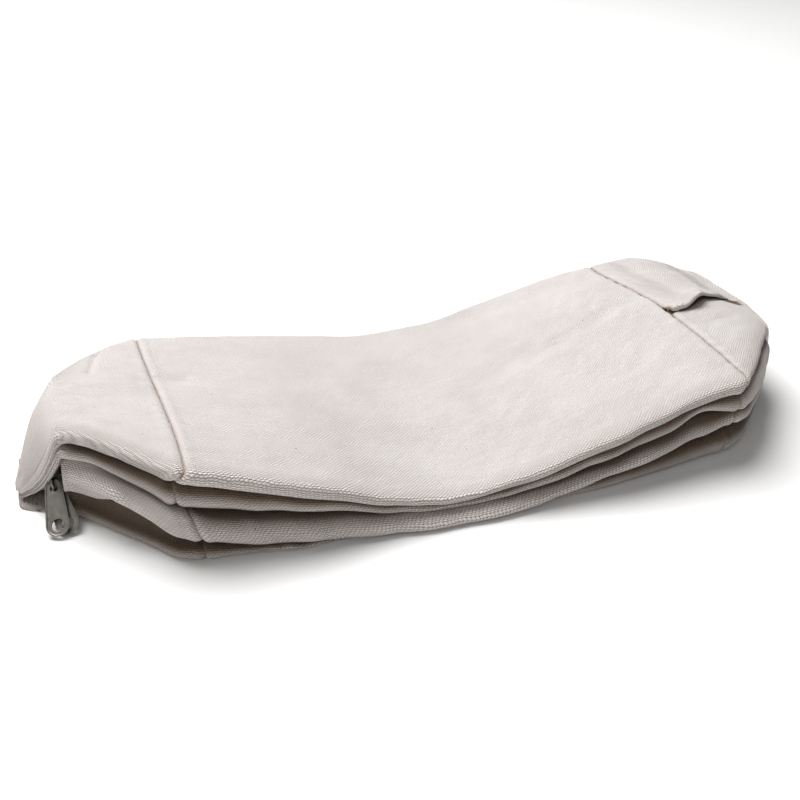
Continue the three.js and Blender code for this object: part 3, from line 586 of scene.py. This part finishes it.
class Recipe:
    """A material's node tree with short ways to add to it."""

    def __init__(self, name, roughness):
        self.material = bpy.data.materials.new(name)
        self.material.use_nodes = True
        self.nodes = self.material.node_tree.nodes
        self.links = self.material.node_tree.links
        self.surface = self.nodes["Principled BSDF"]
        self.surface.inputs["Roughness"].default_value = roughness

    def put(self, value, socket):
        if isinstance(value, (int, float, tuple)):
            socket.default_value = value
        else:
            self.links.new(value, socket)

    def math(self, kind, *values):
        node = self.nodes.new("ShaderNodeMath")
        node.operation = kind
        for value, socket in zip(values, node.inputs):
            self.put(value, socket)
        return node.outputs[0]

    def plus(self, a, b):
        return self.math("ADD", a, b)

    def times(self, a, b):
        return self.math("MULTIPLY", a, b)

    def humps(self, value):
        """One round hump for each whole step of a value."""
        return self.math("ABSOLUTE", self.math("SINE", self.times(value, pi)))

    def layer(self, name):
        """What the points of a sheet keep under a name."""
        attribute = self.nodes.new("ShaderNodeAttribute")
        attribute.attribute_name = name
        return attribute.outputs["Fac"]

    def noise(self, place, scale, detail, stretch=(1, 1, 1)):
        mapping = self.nodes.new("ShaderNodeMapping")
        mapping.inputs["Scale"].default_value = stretch
        self.links.new(place, mapping.inputs["Vector"])
        texture = self.nodes.new("ShaderNodeTexNoise")
        texture.inputs["Scale"].default_value = scale
        texture.inputs["Detail"].default_value = detail
        self.links.new(mapping.outputs["Vector"], texture.inputs["Vector"])
        return texture.outputs["Fac"]

    def spread(self, value, low, high):
        node = self.nodes.new("ShaderNodeMapRange")
        node.inputs["From Min"].default_value = low
        node.inputs["From Max"].default_value = high
        self.links.new(value, node.inputs["Value"])
        return node.outputs["Result"]

    def mix(self, share, a, b):
        node = self.nodes.new("ShaderNodeMix")
        node.data_type = "RGBA"
        self.put(share, node.inputs["Factor"])
        self.put(a, node.inputs["A"])
        self.put(b, node.inputs["B"])
        return node.outputs["Result"]

    def bump(self, height, strength, distance, below=None):
        node = self.nodes.new("ShaderNodeBump")
        node.inputs["Strength"].default_value = strength
        node.inputs["Distance"].default_value = distance
        self.links.new(height, node.inputs["Height"])
        if below is not None:
            self.links.new(below, node.inputs["Normal"])
        return node.outputs["Normal"]

    def coat(self, colour, normal):
        self.links.new(colour, self.surface.inputs["Base Color"])
        self.links.new(normal, self.surface.inputs["Normal"])
        return self.material


def canvas_weave(cloth, place):
    """Rows of thread grains, each row half a grain on from the last, and the twist of their fibres."""
    parts = cloth.nodes.new("ShaderNodeSeparateXYZ")
    cloth.links.new(place, parts.inputs[0])
    wander = cloth.times(cloth.math("SUBTRACT", cloth.noise(place, 110, 2), 0.5), THREAD_WANDER)
    along = cloth.math("DIVIDE", cloth.plus(parts.outputs["X"], wander), GRAIN_LENGTH)
    around = cloth.math("DIVIDE", cloth.plus(parts.outputs["Y"], wander), THREAD_PITCH)
    slant = cloth.times(cloth.math("FRACT", around), GRAIN_SLANT)
    stagger = cloth.plus(cloth.times(cloth.math("FLOOR", around), 0.5), slant)
    grains = cloth.plus(along, stagger)
    weave = cloth.spread(cloth.plus(cloth.humps(grains), cloth.humps(around)), 0.5, 1.95)
    twist = cloth.plus(cloth.times(grains, 6), cloth.times(around, 4))
    return weave, cloth.math("SINE", cloth.times(twist, pi))


def canvas_flecks(cloth, place):
    """Where the few dark bits of seed husk lie."""
    cells = cloth.nodes.new("ShaderNodeTexVoronoi")
    cells.inputs["Scale"].default_value = 150
    cloth.links.new(place, cells.inputs["Vector"])
    size = cloth.times(cloth.noise(place, 500, 1), 0.10)
    near = cloth.math("LESS_THAN", cells.outputs["Distance"], size)
    few = cloth.math("GREATER_THAN", cloth.noise(place, 90, 1), 0.56)
    return cloth.times(near, few)


def canvas_cloth():
    """Plain-woven canvas: painted shade in the weave's grooves, stronger where it is folded, slubs, flecks,
    blotches, painted shade in the front folds and painted shadow along the seams.
    """
    cloth = Recipe("cotton canvas", 0.95)
    cloth.surface.inputs["Sheen Weight"].default_value = 0.15
    cloth.surface.inputs["Sheen Roughness"].default_value = 0.5
    cloth.surface.inputs["Specular IOR Level"].default_value = 0.2
    place = cloth.nodes.new("ShaderNodeTexCoord").outputs["UV"]
    weave, fibres = canvas_weave(cloth, place)
    slubs = cloth.plus(cloth.noise(place, 620, 1, (0.04, 1, 1)), cloth.noise(place, 900, 1, (1, 0.05, 1)))
    height = cloth.plus(cloth.plus(weave, cloth.times(slubs, 0.45)), cloth.times(fibres, 0.05))
    fine = cloth.bump(height, 0.9, WEAVE_DEPTH)
    soft = cloth.bump(cloth.noise(place, 30, 3, (0.6, 1, 1)), 0.35, DENT_DEPTH, fine)
    shade = cloth.mix(cloth.spread(cloth.noise(place, 16, 3), 0.38, 0.66), CANVAS_COLOUR, CANVAS_BLOTCH)
    shade = cloth.mix(cloth.times(cloth.spread(slubs, 0.8, 1.3), 0.35), shade, SLUB_COLOUR)
    # Painted shade in the weave's grooves: weaker in random patches, strongest where the cloth is folded.
    patches = cloth.spread(cloth.noise(place, 28, 2), 0.40, 0.62)
    groove_shade = cloth.plus(cloth.times(patches, 0.26), 0.06)
    groove_shade = cloth.math("MAXIMUM", groove_shade, cloth.times(cloth.layer("opened"), 0.9))
    grooves = cloth.spread(weave, 0.62, 0.05)
    specks = cloth.spread(cloth.noise(place, 1100, 1), 0.56, 0.80)
    # Darker colours laid over the canvas: painted shade in the grooves, real specks and seed flecks, painted
    # shade in the front folds and painted shadow along the seams.
    for share, colour in (
        (cloth.times(grooves, groove_shade), GROOVE_SHADE_AND_SPECK_COLOUR),
        (cloth.times(specks, 0.35), GROOVE_SHADE_AND_SPECK_COLOUR),
        (cloth.times(canvas_flecks(cloth, place), 0.8), FLECK_COLOUR),
        (cloth.times(cloth.layer("shade"), 0.94), FOLD_SHADE_COLOUR),
        (cloth.times(cloth.layer("seam"), 0.7), SEAM_SHADOW_COLOUR),
    ):
        shade = cloth.mix(share, shade, colour)
    return cloth.coat(shade, soft)


canvas = canvas_cloth()
BODY_COLUMNS = column_names(0.0)

# Creases that show on the upper wall, as two ends in plan, a width and a height.
WALL_CREASES = (
    ((-145, 26, 0), (-127, 27, 0), 4.5, -0.8),
    ((-127, 27, 0), (-103, 11, 0), 5.0, -0.7),
    ((155, 31, 0), (126, 24, 0), 4.5, -0.8),
    ((126, 24, 0), (94, 15, 0), 6.0, -1.1),
    ((94, 15, 0), (42, 5, 0), 6.5, -0.9),
    ((49, 80, 0), (137, 72, 0), 8.0, -1.0),
    ((-135, 60, 0), (-40, 52, 0), 9.0, -0.8),
    ((-20, 50, 0), (40, 60, 0), 8.0, 0.9),
    ((-120, -40, 0), (-60, -46, 0), 9.0, -0.7),
    ((-60, 5, 0), (0, -5, 0), 8.0, -0.6),
    ((135, -20, 0), (110, -44, 0), 5.0, -0.7),
)


def even_ends(t, strength=0.6):
    """A share from 0 to 1 whose steps are finer at both ends."""
    return t - strength * sin(2 * pi * t) / (2 * pi)


body_bm, body_lines = cloth_grid(BODY_ROWS, BODY_COLUMNS)
for r, line in enumerate(body_lines):
    lay_section(line, lerp(SEAM_LEFT, SEAM_RIGHT, even_ends(r / (BODY_ROWS - 1))))
mark_folds(body_bm, body_lines, BODY_COLUMNS, (body_lines[0], body_lines[-1]))
measure_cloth(body_bm, body_lines, BODY_ROWS, BODY_COLUMNS)
body = finish_cloth(body_bm, "body_cloth", 2.0, WALL_CREASES, in_plan=True)
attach(body, "root")
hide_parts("body")

# Left end panel: a second piece of canvas, folded out flat; its tip is turned down like a hood,
# and its lower half lies on the table. Its four sides are sewn to the body in turned seams.
END_ROWS = 40
HOOD_ROWS = 36
# Three arcs that the hood passes on its way down, each with its front, middle and back.
HOOD = (
    {"front": (-201.8, -22.8, 29.7), "middle": (-207.5, 6, 40), "back": (-203, 43, 33)},
    {"front": (-210.4, -13.6, 13.8), "middle": (-216, 8, 23), "back": (-207, 42, 19)},
    {"front": (-221.5, -4, 3.4), "middle": (-222, 14, 5), "back": (-211, 40, 5)},
)
HOOD_GROOVE_SHADE = 0.9
TUCK_STEP = 0.03
LIP = 1.1
LIP_TURN = 8
LIP_STEP = 1.4
FLAP_REACH = 26.0
FLAP_MIDDLE = 12.0
FLAP_NARROWED = 0.8
FLAP_SHADE = 0.55
NO_SEAM = 99.0
SOFTENED = 30
# Creases of the left end, as two ends, a width and a height.
LEFT_CREASES = (
    ((-167.5, 72, 43), (-172, 66, 44), 2.0, -1.2),
    ((-172, 66, 44), (-177, 38, 48), 1.8, -3.2),
    ((-208, 1, 38), (-220, 2, 12), 1.3, -0.6),
    ((-176, -50, 31), (-168, -58, 29), 3.0, -1.6),
    ((-186, -40, 28), (-176, -51, 28), 5.0, 1.2),
    ((-150, -20, 54), (-178, -12, 54), 6.0, -0.8),
    ((-160, -45, 54), (-182, -26, 54), 5.0, 0.6),
    ((-191, -34, 31), (-172, -53, 28.5), 4.0, 2.0),
    ((-172, -53, 28.5), (-154, -75, 22), 3.5, 1.2),
    ((-193, -32, 22.5), (-176, -50, 22.5), 2.6, -1.5),
)


def hood_point(level, across):
    """A point of one arc of the hood, at a share of the way across from its front to its back."""
    front, middle, back = (Vector(HOOD[level][key]) for key in ("front", "middle", "back"))
    weights = (2 * (across - 0.5) * (across - 1), 4 * across * (1 - across), 2 * across * (across - 0.5))
    return front * weights[0] + middle * weights[1] + back * weights[2]


def curve_through(points, t):
    """A smooth curve through points, from the second one on, at t from 0 to 1."""
    spans = len(points) - 2
    place = min(t * spans, spans - 1e-6)
    k = int(place) + 1
    f = place - int(place)
    p0, p1, p2 = points[k - 1], points[k], points[k + 1]
    p3 = points[k + 2] if k + 2 < len(points) else p2 * 2 - p1
    return 0.5 * (2 * p1 + (p2 - p0) * f + (2 * p0 - 5 * p1 + 4 * p2 - p3) * f ** 2
                  + (3 * p1 - p0 - 3 * p2 + p3) * f ** 3)


LEFT_COLUMNS = column_names(TIP_LEFT)
left_bm, left_lines = cloth_grid(END_ROWS + HOOD_ROWS, LEFT_COLUMNS)
for r in range(END_ROWS):
    x = lerp(SEAM_LEFT - 2 * SEAM_GAP, TIP_LEFT, (1 - r / (END_ROWS - 1)) ** 1.4)
    lay_section(left_lines[HOOD_ROWS + r], x)
mark_folds(left_bm, left_lines[HOOD_ROWS:], LEFT_COLUMNS, (left_lines[-1],))
gap, shade, opened = (left_bm.verts.layers.float[layer] for layer in ("gap", "shade", "opened"))
# Toward the tip the third fold stands clear of its gap, so less painted shade falls on its front.
proud_from, proud_to = columns_between(LEFT_COLUMNS, "fold 3 top", "fold 3 front")
for line in left_lines[HOOD_ROWS:]:
    for corner in line[proud_from:proud_to + 1]:
        corner[shade] *= 1 - 0.75 * ease(-corner.co.x, 158, 180)
tip = left_lines[HOOD_ROWS]
inside = left_lines[HOOD_ROWS + 3]
top_from, top_to = columns_between(LEFT_COLUMNS, "back nose top", "fold 1 top")
face_from, face_to = columns_between(LEFT_COLUMNS, "fold 1 under", "fold 2 top")
lip_from, lip_to = columns_between(LEFT_COLUMNS, "fold 2 under", "fold 2 under stretch")
low_from, low_to = columns_between(LEFT_COLUMNS, "lowest fold under", "back nose low")
reached = {top_from: 0.0}
for c in range(top_from + 1, face_to + 1):
    name = LEFT_COLUMNS[c]
    in_tuck = c > face_from and not name.startswith("fold") or name == "fold 1 under stretch"
    reached[c] = reached[c - 1] + (TUCK_STEP if in_tuck else (tip[c].co - tip[c - 1].co).length)


def lay_hood(line, out):
    """Carry the upper wall and the first tuck on past the tip, down over the hood's arcs."""
    for c in range(top_from, face_to + 1):
        across = 1 - reached[c] / reached[face_to]
        before = tip[c].co + inside[min(c, top_to)].co - tip[min(c, top_to)].co
        stops = [before, tip[c].co] + [hood_point(level, across) for level in range(len(HOOD))]
        line[c].co = curve_through(stops, out)
        # Painted shade in the weave's grooves: strong over the hood, and fading out from the nose's own.
        from_nose = tip[c][opened] * (1 - ease(out, 0, 0.5))
        line[c][opened] = max(HOOD_GROOVE_SHADE * ease(out, 0, 0.3), from_nose)


def lay_flap(line, out):
    """Carry the lower wall on past the tip as a flap that narrows and lies on the table."""
    for c in range(low_from, low_to + 1):
        start = tip[c].co
        share = (c - low_from) / (low_to - low_from)
        x = start.x - FLAP_REACH * ease(share, -0.15, 0.24) * out
        y = lerp(start.y, FLAP_MIDDLE + (start.y - FLAP_MIDDLE) * FLAP_NARROWED, out)
        line[c].co = Vector((x, y, lerp(start.z, FLOOR + 0.1, ease(out, 0, 0.7))))
        # The flap lies in the hood's shadow, painted in as shade.
        line[c][shade] = FLAP_SHADE


def roll_lip(line, inner_line, out):
    """Roll the hood's front edge in on itself as a narrow lip."""
    edge = line[face_to].co
    forward = (edge - line[face_to - 6].co).normalized()
    outward = (edge - inner_line[face_to].co).normalized()
    proud = forward.cross(outward).normalized()
    if proud.dot(Vector((-0.5, -0.5, 0.7))) < 0:
        proud = -proud
    for c in range(lip_from, lip_to + 1):
        step = c - lip_from + 1
        turn = pi * min(step / LIP_TURN, 1)
        inward = max(step - LIP_TURN, 0) * LIP_STEP
        rolled = forward * (LIP * sin(turn) - inward) - proud * LIP * (1 - cos(turn))
        own = tip[c].co - tip[face_to].co
        line[c].co = edge + own.lerp(rolled, ease(out, 0, 0.3))
        # The lip's weave grooves take the full painted shade.
        line[c][opened] = 1.0


for r, line in enumerate(left_lines[:HOOD_ROWS]):
    out = 1 - r / HOOD_ROWS
    for corner in line:
        corner[gap] = NO_SEAM
    lay_hood(line, out)
    lay_flap(line, out)
for r, line in enumerate(left_lines[:HOOD_ROWS]):
    roll_lip(line, left_lines[r + 1], 1 - r / HOOD_ROWS)
# Past the tip only the hood with its lip and the flap go on; the rest of the grid is cut away.
kept = {corner for line in left_lines[:HOOD_ROWS] for a, b in ((top_from, lip_to), (low_from, low_to))
        for corner in line[a:b + 1]}
kept |= {corner for line in left_lines[HOOD_ROWS:] for corner in line}
measure_cloth(left_bm, left_lines[::-1], END_ROWS, LEFT_COLUMNS, level=0.0)
bmesh.ops.delete(left_bm, geom=[corner for corner in left_bm.verts if corner not in kept], context="VERTS")
# Canvas doesn't keep a sharp corner where the hood leaves the first fold.
soft_corner = [corner for line in left_lines[:HOOD_ROWS + 5] for corner in line[top_to - 10:face_to - 1]]
for turn in range(SOFTENED):
    bmesh.ops.smooth_vert(left_bm, verts=soft_corner, factor=0.5, use_axis_x=True, use_axis_y=True,
                          use_axis_z=True)
left_panel = finish_cloth(left_bm, "left_end_cloth", 7.0, LEFT_CREASES)
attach(left_panel, "root")
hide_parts("end_panel_left")

# Right end panel: the same piece of canvas at the other end, its tip rounded over to its lower half,
# with one overlapped pleat across its top. It is sewn to the body in turned seams.
CAP_ROWS = 30
CAP_BULGE = 12.0
POCKET_SHADOW = 3.5
POCKET_COLUMNS = 30
# Creases of the right end, as two ends, a width and a height.
RIGHT_CREASES = (
    ((212, -8, 34), (190, -52, 34), 2.6, -3.0),
    ((216, 12, 34), (212, -8, 34), 2.6, -2.0),
    ((170, 66, 49), (196, 58, 49), 7.0, -1.6),
    ((160, 26, 50), (172, 24, 51), 2.0, -0.9),
    ((172, -20, 50), (190, -14, 49), 4.0, -0.9),
    ((166, -50, 49), (186, -34, 48), 4.0, 0.7),
)
RIGHT_COLUMNS = column_names(TIP_RIGHT)
right_bm, right_lines = cloth_grid(END_ROWS + CAP_ROWS, RIGHT_COLUMNS)
for r in range(END_ROWS):
    x = lerp(SEAM_RIGHT + 2 * SEAM_GAP, TIP_RIGHT, (r / (END_ROWS - 1)) ** 1.5)
    lay_section(right_lines[r], x)
mark_folds(right_bm, right_lines[:END_ROWS], RIGHT_COLUMNS, (right_lines[0],))
gap, shade = (right_bm.verts.layers.float[layer] for layer in ("gap", "shade"))
# Painted shade: the pocket under the pleat is dark, and its painted shadow falls on the wall in front of it.
pocket_from, pocket_to = columns_between(RIGHT_COLUMNS, "pleat edge stretch", "pleat tuck stretch")
for line in right_lines[:END_ROWS]:
    edge_y = line[pocket_from].co.y
    for corner in line[pocket_from:pocket_to]:
        corner[shade] = 1.0
    for corner in line[pocket_to:pocket_to + POCKET_COLUMNS]:
        corner[shade] = 0.9 * ease(edge_y - corner.co.y, POCKET_SHADOW, 0)
tip = right_lines[END_ROWS - 1]
top_from, top_to = columns_between(RIGHT_COLUMNS, "back nose top", "fold 1 top")
low_from, low_to = columns_between(RIGHT_COLUMNS, "lowest fold under", "back nose low")
# The cap carries the upper wall over the tip down to the lower one; the rest of the grid is cut away.
width = top_to - top_from
low_ends = [tip[low_from + round(k * (low_to - low_from) / width)].co for k in range(width + 1)]
for r, line in enumerate(right_lines[END_ROWS:]):
    down = (r + 1) / CAP_ROWS
    for k in range(width + 1):
        place = tip[top_from + k].co.lerp(low_ends[-1 - k], (1 - cos(pi * down)) / 2)
        place.x += CAP_BULGE * max(sin(pi * k / width), 0) ** 0.65 * max(sin(pi * down), 0) ** 0.6
        line[top_from + k].co = place
        line[top_from + k][gap] = NO_SEAM
kept = {corner for line in right_lines[END_ROWS:] for corner in line[top_from:top_to + 1]}
kept |= {corner for line in right_lines[:END_ROWS] for corner in line}
measure_cloth(right_bm, right_lines, END_ROWS, RIGHT_COLUMNS, level=-20.0)
bmesh.ops.delete(right_bm, geom=[corner for corner in right_bm.verts if corner not in kept], context="VERTS")
right_panel = finish_cloth(right_bm, "right_end_cloth", 12.0, RIGHT_CREASES)
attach(right_panel, "root")
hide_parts("end_panel_right")

# Zip: a woven cotton tape with a moulded coil, sewn in between the two hems of the body; it runs low
# inside the back tuck, turns round the left tip and ends under the hood beside the slider.
ZIP_WIDTH = 6.6
ZIP_SETBACK = 1.6
TAPE_THICK = 0.7
TAPE_COLOUR = (0.62, 0.565, 0.50, 1.0)
TAPE_DARK = (0.34, 0.28, 0.22, 1.0)
TAPE_GRAIN = 2600
TOOTH_PITCH = 1.35
TOOTH = (0.85, 1.9, 1.3)
TOOTH_SIDE = 0.75
TOOTH_SUNK = 0.1
TOOTH_BEVEL = 0.28
COIL_COLOUR = (0.72, 0.68, 0.61, 1.0)
ZIP_STEPS = 240
WAY_PARTS = 1200
# The zip's way round the left tip.
ZIP_TURN = (
    (-197, 24, 8.8),
    (-206, 25, 7.2),
    (-211.5, 20.5, 5.6),
    (-213, 12, 5),
    (-211.5, 3.5, 5.6),
    (-206.4, -3.4, 8.4),
)
# Where the first tab turns on the bridge, the ways the two tabs hang, and the slider's own directions.
TAB_PIVOT = Vector((-202.9, -21.9, 17.0))
HANG = Vector((-0.029, -0.803, -0.596)).normalized()
FAN = Vector((0.18, -0.82, -0.55)).normalized()
FACE = HANG.cross(FAN).normalized()
SLIDE = FACE.cross(HANG).normalized()
SLIDER_LENGTH = 9.0
SLIDER_THICK = 4.4
BRIDGE_SHIFT = 3.2
TAB_HANG = 3.0
TAB_THICK = 1.2
TAB_STACK = 2.1
TAB_PLAY = 0.4


def hole_rise(layer):
    """How far the middle of a tab's top hole stands off the slider's face."""
    return SLIDER_THICK / 2 + TAB_THICK / 2 + TAB_PLAY + layer * TAB_STACK


bridge_foot = TAB_PIVOT - HANG * TAB_HANG - FACE * hole_rise(1)
slider_centre = bridge_foot + SLIDE * BRIDGE_SHIFT
zip_end = slider_centre - SLIDE * (SLIDER_LENGTH / 2 + 1)


def woven_tape():
    """A fine cotton tape: small threads both ways, darker between them."""
    cloth = Recipe("zip tape", 0.9)
    place = cloth.nodes.new("ShaderNodeTexCoord").outputs["Object"]
    threads = cloth.plus(cloth.noise(place, TAPE_GRAIN, 1, (0.3, 1, 1)),
                         cloth.noise(place, TAPE_GRAIN, 1, (1, 1, 0.3)))
    shade = cloth.mix(cloth.spread(threads, 1.15, 0.75), TAPE_COLOUR, TAPE_DARK)
    return cloth.coat(shade, cloth.bump(threads, 0.6, 0.0002))


def zip_way():
    """The zip's line as points: straight in the tuck, then round the tip to its end."""
    way = []
    for k in range(17):
        x = lerp(SEAM_RIGHT - 4, -188, k / 16)
        way.append(Vector((x, ZIP_LINE - ZIP_SETBACK, zip_height(x))))
    way += [Vector((x, y - ZIP_SETBACK, z)) for x, y, z in ZIP_TURN]
    way.append(zip_end)
    way.insert(0, way[0] * 2 - way[1])
    return way


def frames_along(way, steps):
    """Place, direction, outward and upward at even steps along a way."""
    fine = [curve_through(way, k / WAY_PARTS) for k in range(WAY_PARTS + 1)]
    reached = [0.0]
    for a, b in zip(fine, fine[1:]):
        reached.append(reached[-1] + (b - a).length)
    frames = []
    k = 0
    for step in range(steps + 1):
        goal = reached[-1] * step / steps
        while k < len(fine) - 2 and reached[k + 1] < goal:
            k += 1
        along = (fine[k + 1] - fine[k]).normalized()
        outward = along.cross(Vector((0, 0, 1))).normalized()
        up = outward.cross(along).normalized()
        if up.z < 0:
            up = -up
        place = fine[k].lerp(fine[k + 1], (goal - reached[k]) / (reached[k + 1] - reached[k]))
        frames.append((place, along, outward, up))
    return frames, reached[-1]


way_frames, way_length = frames_along(zip_way(), ZIP_STEPS)
tape_bm = bmesh.new()
bmesh.ops.create_grid(tape_bm, x_segments=ZIP_STEPS, y_segments=4, size=1.0)
for corner in tape_bm.verts:
    place, along, outward, up = way_frames[round((corner.co.x + 1) / 2 * ZIP_STEPS)]
    corner.co = (place + up * corner.co.y * ZIP_WIDTH / 2 + MIDDLE) * MM
tape = object_from(tape_bm, "zip_tape", woven_tape())
smooth(tape)
tape_thick = tape.modifiers.new("tape thickness", "SOLIDIFY")
tape_thick.thickness = TAPE_THICK * MM
tape_thick.offset = 0.0
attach(tape, "root")
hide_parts("zip")

coil_bm = bmesh.new()
tooth_frames = frames_along(zip_way(), int(way_length / TOOTH_PITCH))[0]
tooth_rise = TAPE_THICK / 2 + TOOTH[2] / 2 - TOOTH_SUNK
for k, (place, along, outward, up) in enumerate(tooth_frames):
    side = TOOTH_SIDE if k % 2 else -TOOTH_SIDE
    centre = place + outward * tooth_rise + up * side
    turn = Matrix((along, up, outward)).transposed().to_4x4()
    scale = Matrix.Diagonal((*TOOTH, 1.0))
    matrix = Matrix.Translation((centre + MIDDLE) * MM) @ turn @ Matrix.Scale(MM, 4) @ scale
    bmesh.ops.create_cube(coil_bm, size=1.0, matrix=matrix)
bmesh.ops.bevel(coil_bm, geom=coil_bm.edges[:], offset=TOOTH_BEVEL * MM, segments=2, profile=0.5,
                affect="EDGES", material=-1)
bmesh.ops.recalc_face_normals(coil_bm, faces=coil_bm.faces[:])
coil = object_from(coil_bm, "zip_coil", plain_material("zip coil", COIL_COLOUR, 0.4))
smooth(coil)
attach(coil, "root")

# Zip slider: die-cast metal, threaded on the zip and held in the hood's mouth. Both pull tabs hang on
# the wire bridge on its face.
METAL_DARK = (0.20, 0.188, 0.168, 1.0)
METAL_LIGHT = (0.27, 0.257, 0.233, 1.0)


def satin_metal():
    """Dull plated metal: fine scratches, and patches that handling has rubbed brighter."""
    metal = Recipe("satin plated metal", 0.4)
    metal.surface.inputs["Metallic"].default_value = 1.0
    place = metal.nodes.new("ShaderNodeTexCoord").outputs["Object"]
    scratches = metal.noise(place, 1500, 2, (1, 0.08, 1))
    patches = metal.spread(metal.noise(place, 260, 3), 0.35, 0.7)
    rough = metal.plus(metal.times(scratches, 0.25), 0.30)
    metal.links.new(rough, metal.surface.inputs["Roughness"])
    return metal.coat(metal.mix(patches, METAL_DARK, METAL_LIGHT), metal.bump(scratches, 0.25, 0.00005))


plated = satin_metal()
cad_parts["zip_slider"].material_slots[0].material = plated

# Pull tabs: two stamped tongues of plated sheet metal with a raised rim, a small hole on the bridge
# and a larger hole at the free end.
TAB_LENGTH = 28.5
TAB_TOP_WIDTH = 7.4
TAB_WIDTH = 10.4
TAB_TOP_HOLE = 3.8
TAB_LOW_HOLE = 6.4
TAB_HOLE_INSET = 4.0
TAB_RIM = 1.0
TAB_STEP = 0.35
TAB_BEVEL = 0.16


def tab_sheet():
    """A tab in its own plane: two round ends joined, a rim, the middle pressed down, and two holes."""
    low_end = TAB_LENGTH - TAB_WIDTH / 2
    bm = bmesh.new()
    ends = []
    for x, width, side in ((low_end, TAB_WIDTH, -1), (TAB_TOP_WIDTH / 2, TAB_TOP_WIDTH, 1)):
        start = bm.verts.new((x, side * width / 2, 0))
        spun = bmesh.ops.spin(bm, geom=[start], cent=(x, 0, 0), axis=(0, 0, 1), angle=pi, steps=20,
                              use_duplicate=False)
        ends += [start] + [piece for piece in spun["geom_last"] if isinstance(piece, bmesh.types.BMVert)]
    bm.edges.new((ends[1], ends[2]))
    bm.edges.new((ends[3], ends[0]))
    sheet = bmesh.ops.edgeloop_fill(bm, edges=bm.edges[:])["faces"]
    bmesh.ops.inset_region(bm, faces=sheet, thickness=TAB_RIM, use_even_offset=True)
    rim_edges = list(sheet[0].edges)
    bmesh.ops.delete(bm, geom=sheet, context="FACES_ONLY")
    stepped = bmesh.ops.extrude_edge_only(bm, edges=rim_edges)["geom"]
    low = [piece for piece in stepped if isinstance(piece, bmesh.types.BMVert)]
    bmesh.ops.translate(bm, verts=low, vec=(0, 0, -TAB_STEP))
    rings = [edge for edge in bm.edges if edge.verts[0] in low and edge.verts[1] in low]
    for x, diameter in ((TAB_HOLE_INSET, TAB_TOP_HOLE), (low_end, TAB_LOW_HOLE)):
        hole = bmesh.ops.create_circle(bm, cap_ends=False, segments=32, radius=diameter / 2,
                                       matrix=Matrix.Translation((x, 0, -TAB_STEP)))["verts"]
        rings += list({edge for corner in hole for edge in corner.link_edges})
    bmesh.ops.triangle_fill(bm, use_beauty=True, use_dissolve=False, edges=rings, normal=(0, 0, 1))
    bmesh.ops.recalc_face_normals(bm, faces=bm.faces[:])
    if sum(face.normal.z * face.calc_area() for face in bm.faces) < 0:
        bmesh.ops.reverse_faces(bm, faces=bm.faces[:])
    return bm


def pull_tab(name, layer, direction):
    """One tab on the bridge; the upper layer lies over the lower one."""
    bm = tab_sheet()
    across = FACE.cross(direction)
    origin = bridge_foot + HANG * TAB_HANG + FACE * (hole_rise(layer) + TAB_THICK / 2)
    origin -= direction * TAB_HOLE_INSET
    turn = Matrix((direction, across, FACE)).transposed().to_4x4()
    matrix = Matrix.Translation((origin + MIDDLE) * MM) @ turn @ Matrix.Scale(MM, 4)
    bmesh.ops.transform(bm, matrix=matrix, verts=bm.verts[:])
    tab = object_from(bm, name + "_metal", plated)
    thick = tab.modifiers.new("sheet metal", "SOLIDIFY")
    thick.thickness = (TAB_THICK - TAB_STEP) * MM
    thick.offset = -1.0
    edges = tab.modifiers.new("rubbed edges", "BEVEL")
    edges.width = TAB_BEVEL * MM
    edges.segments = 2
    edges.limit_method = "ANGLE"
    edges.angle_limit = radians(40)
    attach(tab, "root")
    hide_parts(name)


pull_tab("pull_tab_1", 1, HANG)
pull_tab("pull_tab_2", 0, FAN)
